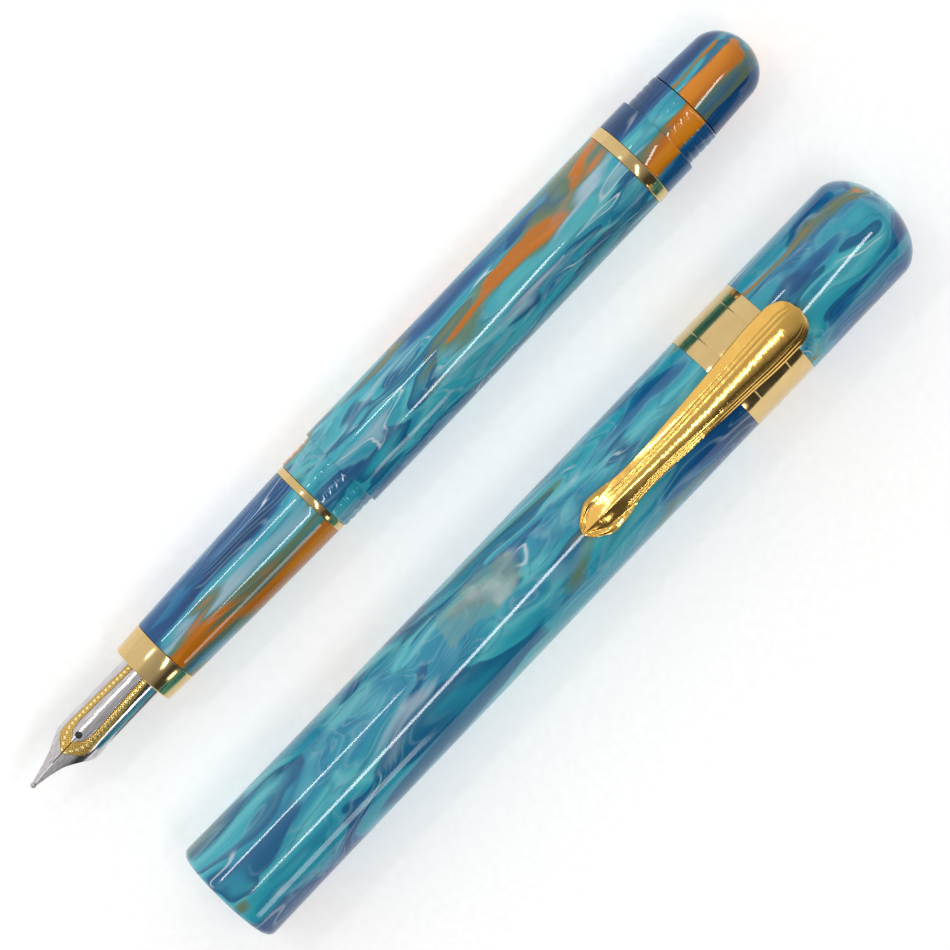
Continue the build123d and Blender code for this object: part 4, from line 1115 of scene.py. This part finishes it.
band_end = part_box("clip_band")[1][0]
CROWN_DOME = 5.0 * mm
CROWN_SKIRT = 6.5 * mm
crown_radius = (crown_high.y - crown_low.y) / 2
inner_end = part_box("inner_cap")[1][0]
crown = lathe(
    "crown_shell",
    [
        (inner_end, 0),
        (inner_end, CROWN_SEAT),
        (crown_low.x, CROWN_SEAT),
        (crown_low.x, CROWN_SKIRT),
        (band_end, CROWN_SKIRT),
        (band_end, crown_radius),
    ]
    + dome(crown_high.x - CROWN_DOME, CROWN_DOME, crown_radius, 40),
    cap_line,
    edge=0.06 * mm,
    steps=200,
)
crown_resin = resin(
    "crown_resin", (9.1, 3.3, 1.1), (0.040, 0.11, 0.11), cap_line, band_end,
    [(-7.6, 0.10, -0.05), (-2, 0.06, -0.08), (1, 0.02, -0.05), (3, 0.0, -0.02), (7.6, 0.04, 0.0)],
    [(0, 0.0, 0.02), (8, 0.02, 0.0), (16, 0.04, -0.02), (22, 0.05, -0.04)],
    folding=1.9, pearl=0.8,
)
crown.data.materials.append(crown_resin)
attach(crown, "cap")
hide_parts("crown")

# ---------------------------------------------------------------------------
# Clip band
# Brass ring, gold plated and polished flat, with two fine turned lines; the crown clamps
# it on the tube's end, and the clip's post stands on it.
# ---------------------------------------------------------------------------
low, high = (Vector(corner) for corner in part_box("clip_band"))
band_radius = (high.y - low.y) / 2
LINE_INSET = 2.4 * mm
LINE_WIDTH = 0.16 * mm
LINE_DEPTH = 0.07 * mm


def turned_line(place):
    """Outline points of one V-shaped line cut round the band."""
    return [
        (place - LINE_WIDTH / 2, band_radius),
        (place, band_radius - LINE_DEPTH),
        (place + LINE_WIDTH / 2, band_radius),
    ]


band = lathe(
    "clip_band_turned",
    [(low.x, BAND_SEAT), (low.x, band_radius)]
    + turned_line(low.x + LINE_INSET)
    + turned_line(high.x - LINE_INSET)
    + [(high.x, band_radius), (high.x, BAND_SEAT), (low.x, BAND_SEAT)],
    cap_line,
    edge=0.03 * mm,
    steps=200,
)
band.data.materials.append(pale_gold)
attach(band, "cap")
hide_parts("clip_band")

# ---------------------------------------------------------------------------
# Clip
# Cast and plated lever with a ridged, fluted back, a faceted spearhead tip and a
# broad round end that a thumb presses; it hangs on a pin through the band's post.
# ---------------------------------------------------------------------------
clip_low, clip_high = (Vector(corner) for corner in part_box("clip"))
pin_low, pin_high = (Vector(corner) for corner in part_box("clip_pin"))
CLIP_ROLL = 6.0
clip_length = clip_high.x - clip_low.x
clip_pin_place = (pin_low.x + pin_high.x) / 2 - clip_low.x
CLIP_WALL = 0.55 * mm
clip_half_width = through([
    (0, 0), (0.35 * mm, 0.80 * mm), (1.1 * mm, 1.55 * mm), (3.4 * mm, 2.70 * mm),
    (5.6 * mm, 2.52 * mm),
    (8.2 * mm, 2.08 * mm), (10.6 * mm, 2.00 * mm), (18.0 * mm, 2.35 * mm), (26.5 * mm, 2.86 * mm),
    (clip_length - 5.4 * mm, 3.28 * mm), (clip_length - 3.0 * mm, 3.26 * mm),
    (clip_length - 1.2 * mm, 2.60 * mm), (clip_length - 0.35 * mm, 1.50 * mm), (clip_length, 0),
])
clip_back = through([
    (0, 8.05 * mm), (1.2 * mm, 8.42 * mm), (3.6 * mm, 8.90 * mm), (6.5 * mm, 9.02 * mm),
    (10.1 * mm, 9.18 * mm), (20.5 * mm, 10.14 * mm), (30.4 * mm, 10.62 * mm),
    (clip_length - 4.0 * mm, 10.55 * mm), (clip_length - 1.4 * mm, 10.10 * mm),
    (clip_length, 9.25 * mm),
])
clip_belly = through([
    (0, 7.85 * mm), (2.6 * mm, 7.68 * mm), (3.8 * mm, 7.90 * mm), (10.1 * mm, 8.32 * mm),
    (20.5 * mm, 8.70 * mm), (27.4 * mm, 8.36 * mm), (33.4 * mm, 8.36 * mm), (clip_length, 9.0 * mm),
])
ridge_slope = through([
    (0, 0.60), (3.4 * mm, 0.46), (8 * mm, 0.32), (14 * mm, 0.27), (clip_length, 0.22),
])
ridge_softness = through([
    (0, 0.03), (5 * mm, 0.05), (10 * mm, 0.22), (20 * mm, 0.34), (clip_length, 0.40),
])
FLUTES = ((0.34, 0.07), (0.52, 0.06), (-0.60, 0.05), (-0.74, 0.05), (-0.87, 0.04))
FLUTE_DEPTH = 0.06 * mm
HEAD_LENGTH = 5.2 * mm
RIM_HEIGHT = 0.24 * mm
EDGE_SHARE = 0.30


def bell(value, middle, spread):
    """1 at the middle, falling to nothing past the spread."""
    return exp(-(((value - middle) / spread) ** 2))


def clip_top(share, across):
    """A point of the clip's back: a ridge, flanks that fall away faster to the edges, fine flutes."""
    place = clip_length * share
    width, back, belly = clip_half_width(place), clip_back(place), clip_belly(place)
    edge = belly + EDGE_SHARE * (back - belly)
    soft = ridge_softness(place)
    roof = ridge_slope(place) * width * (sqrt(across**2 + soft**2) - soft)
    fall = max(0, back - edge - ridge_slope(place) * width) * abs(across) ** 3.2
    height = back - min(roof, back - edge) - fall
    shaft = min(1, max(0, place - HEAD_LENGTH) / (3 * mm))
    shaft *= min(1, max(0, clip_length - place) / (4 * mm))
    for middle, spread in FLUTES:
        height -= FLUTE_DEPTH * shaft * bell(across, middle, spread)
    head = max(0, 1 - place / HEAD_LENGTH) * min(1, place / (0.6 * mm))
    rim = bell(abs(across), 0.80, 0.10) - 0.8 * bell(abs(across), 0.45, 0.20)
    height += RIM_HEIGHT * head * rim
    return Vector((clip_low.x + place, cap_line.y + width * across, cap_line.z + max(height, edge)))


def clip_under(share, across):
    """A point of the clip's underside, hollow over the post."""
    place = clip_length * share
    width, belly = clip_half_width(place), clip_belly(place)
    over_post = -2.6 * mm < place - clip_pin_place < 4.0 * mm and abs(across) < 0.50
    height = clip_top(share, across).z - cap_line.z - CLIP_WALL if over_post else belly
    return Vector((clip_low.x + place, cap_line.y + width * across, cap_line.z + height))


clip = pressed_sheet("clip_lever", 260, 120, clip_top, clip_under)
bpy.ops.object.mode_set(mode="EDIT")
bpy.ops.mesh.select_all(action="SELECT")
bpy.ops.mesh.remove_doubles(threshold=0.002 * mm)
bpy.ops.mesh.normals_make_consistent(inside=False)
bpy.ops.object.mode_set(mode="OBJECT")
turn_about(clip, cap_line, CLIP_ROLL)
bpy.ops.object.shade_smooth_by_angle(angle=radians(50))
rich_gold = plated(
    "rich_gold_plate", colour(255, 210, 118), colour(240, 184, 90), 0.10, 0.20, 0.8,
    marks=(0.9, 0.35, 0.35), depth=0.09,
)
clip.data.materials.append(rich_gold)
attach(clip, "clip")
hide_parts("clip")

# ---------------------------------------------------------------------------
# Clip spring
# Arched leaf of spring steel that rests on the cap under the clip's wide end. It is built
# in its arched rest shape and stays so; in the pen it is pressed flat when the clip is opened.
# ---------------------------------------------------------------------------
low, high = (Vector(corner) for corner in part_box("clip_spring"))
LEAF_LEVEL = 7.60 * mm
LEAF_TOP = 8.32 * mm
LEAF_HALF_WIDTH = 1.1 * mm
LEAF_THICKNESS = 0.20 * mm


def leaf_point(share, across, lift):
    """A point of the arched spring leaf between the clip and the crown."""
    arch = (LEAF_TOP - LEAF_THICKNESS - LEAF_LEVEL) * sin(pi * share)
    return Vector((
        low.x + (high.x - low.x) * share,
        cap_line.y + LEAF_HALF_WIDTH * across,
        cap_line.z + LEAF_LEVEL + arch + lift,
    ))


leaf = pressed_sheet(
    "spring_leaf", 40, 6,
    lambda share, across: leaf_point(share, across, LEAF_THICKNESS),
    lambda share, across: leaf_point(share, across, 0),
)
turn_about(leaf, cap_line, CLIP_ROLL)
bpy.ops.object.shade_smooth_by_angle(angle=radians(40))
leaf.data.materials.append(bright_steel)
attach(leaf, "cap")
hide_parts("clip_spring")
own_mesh(leaf)
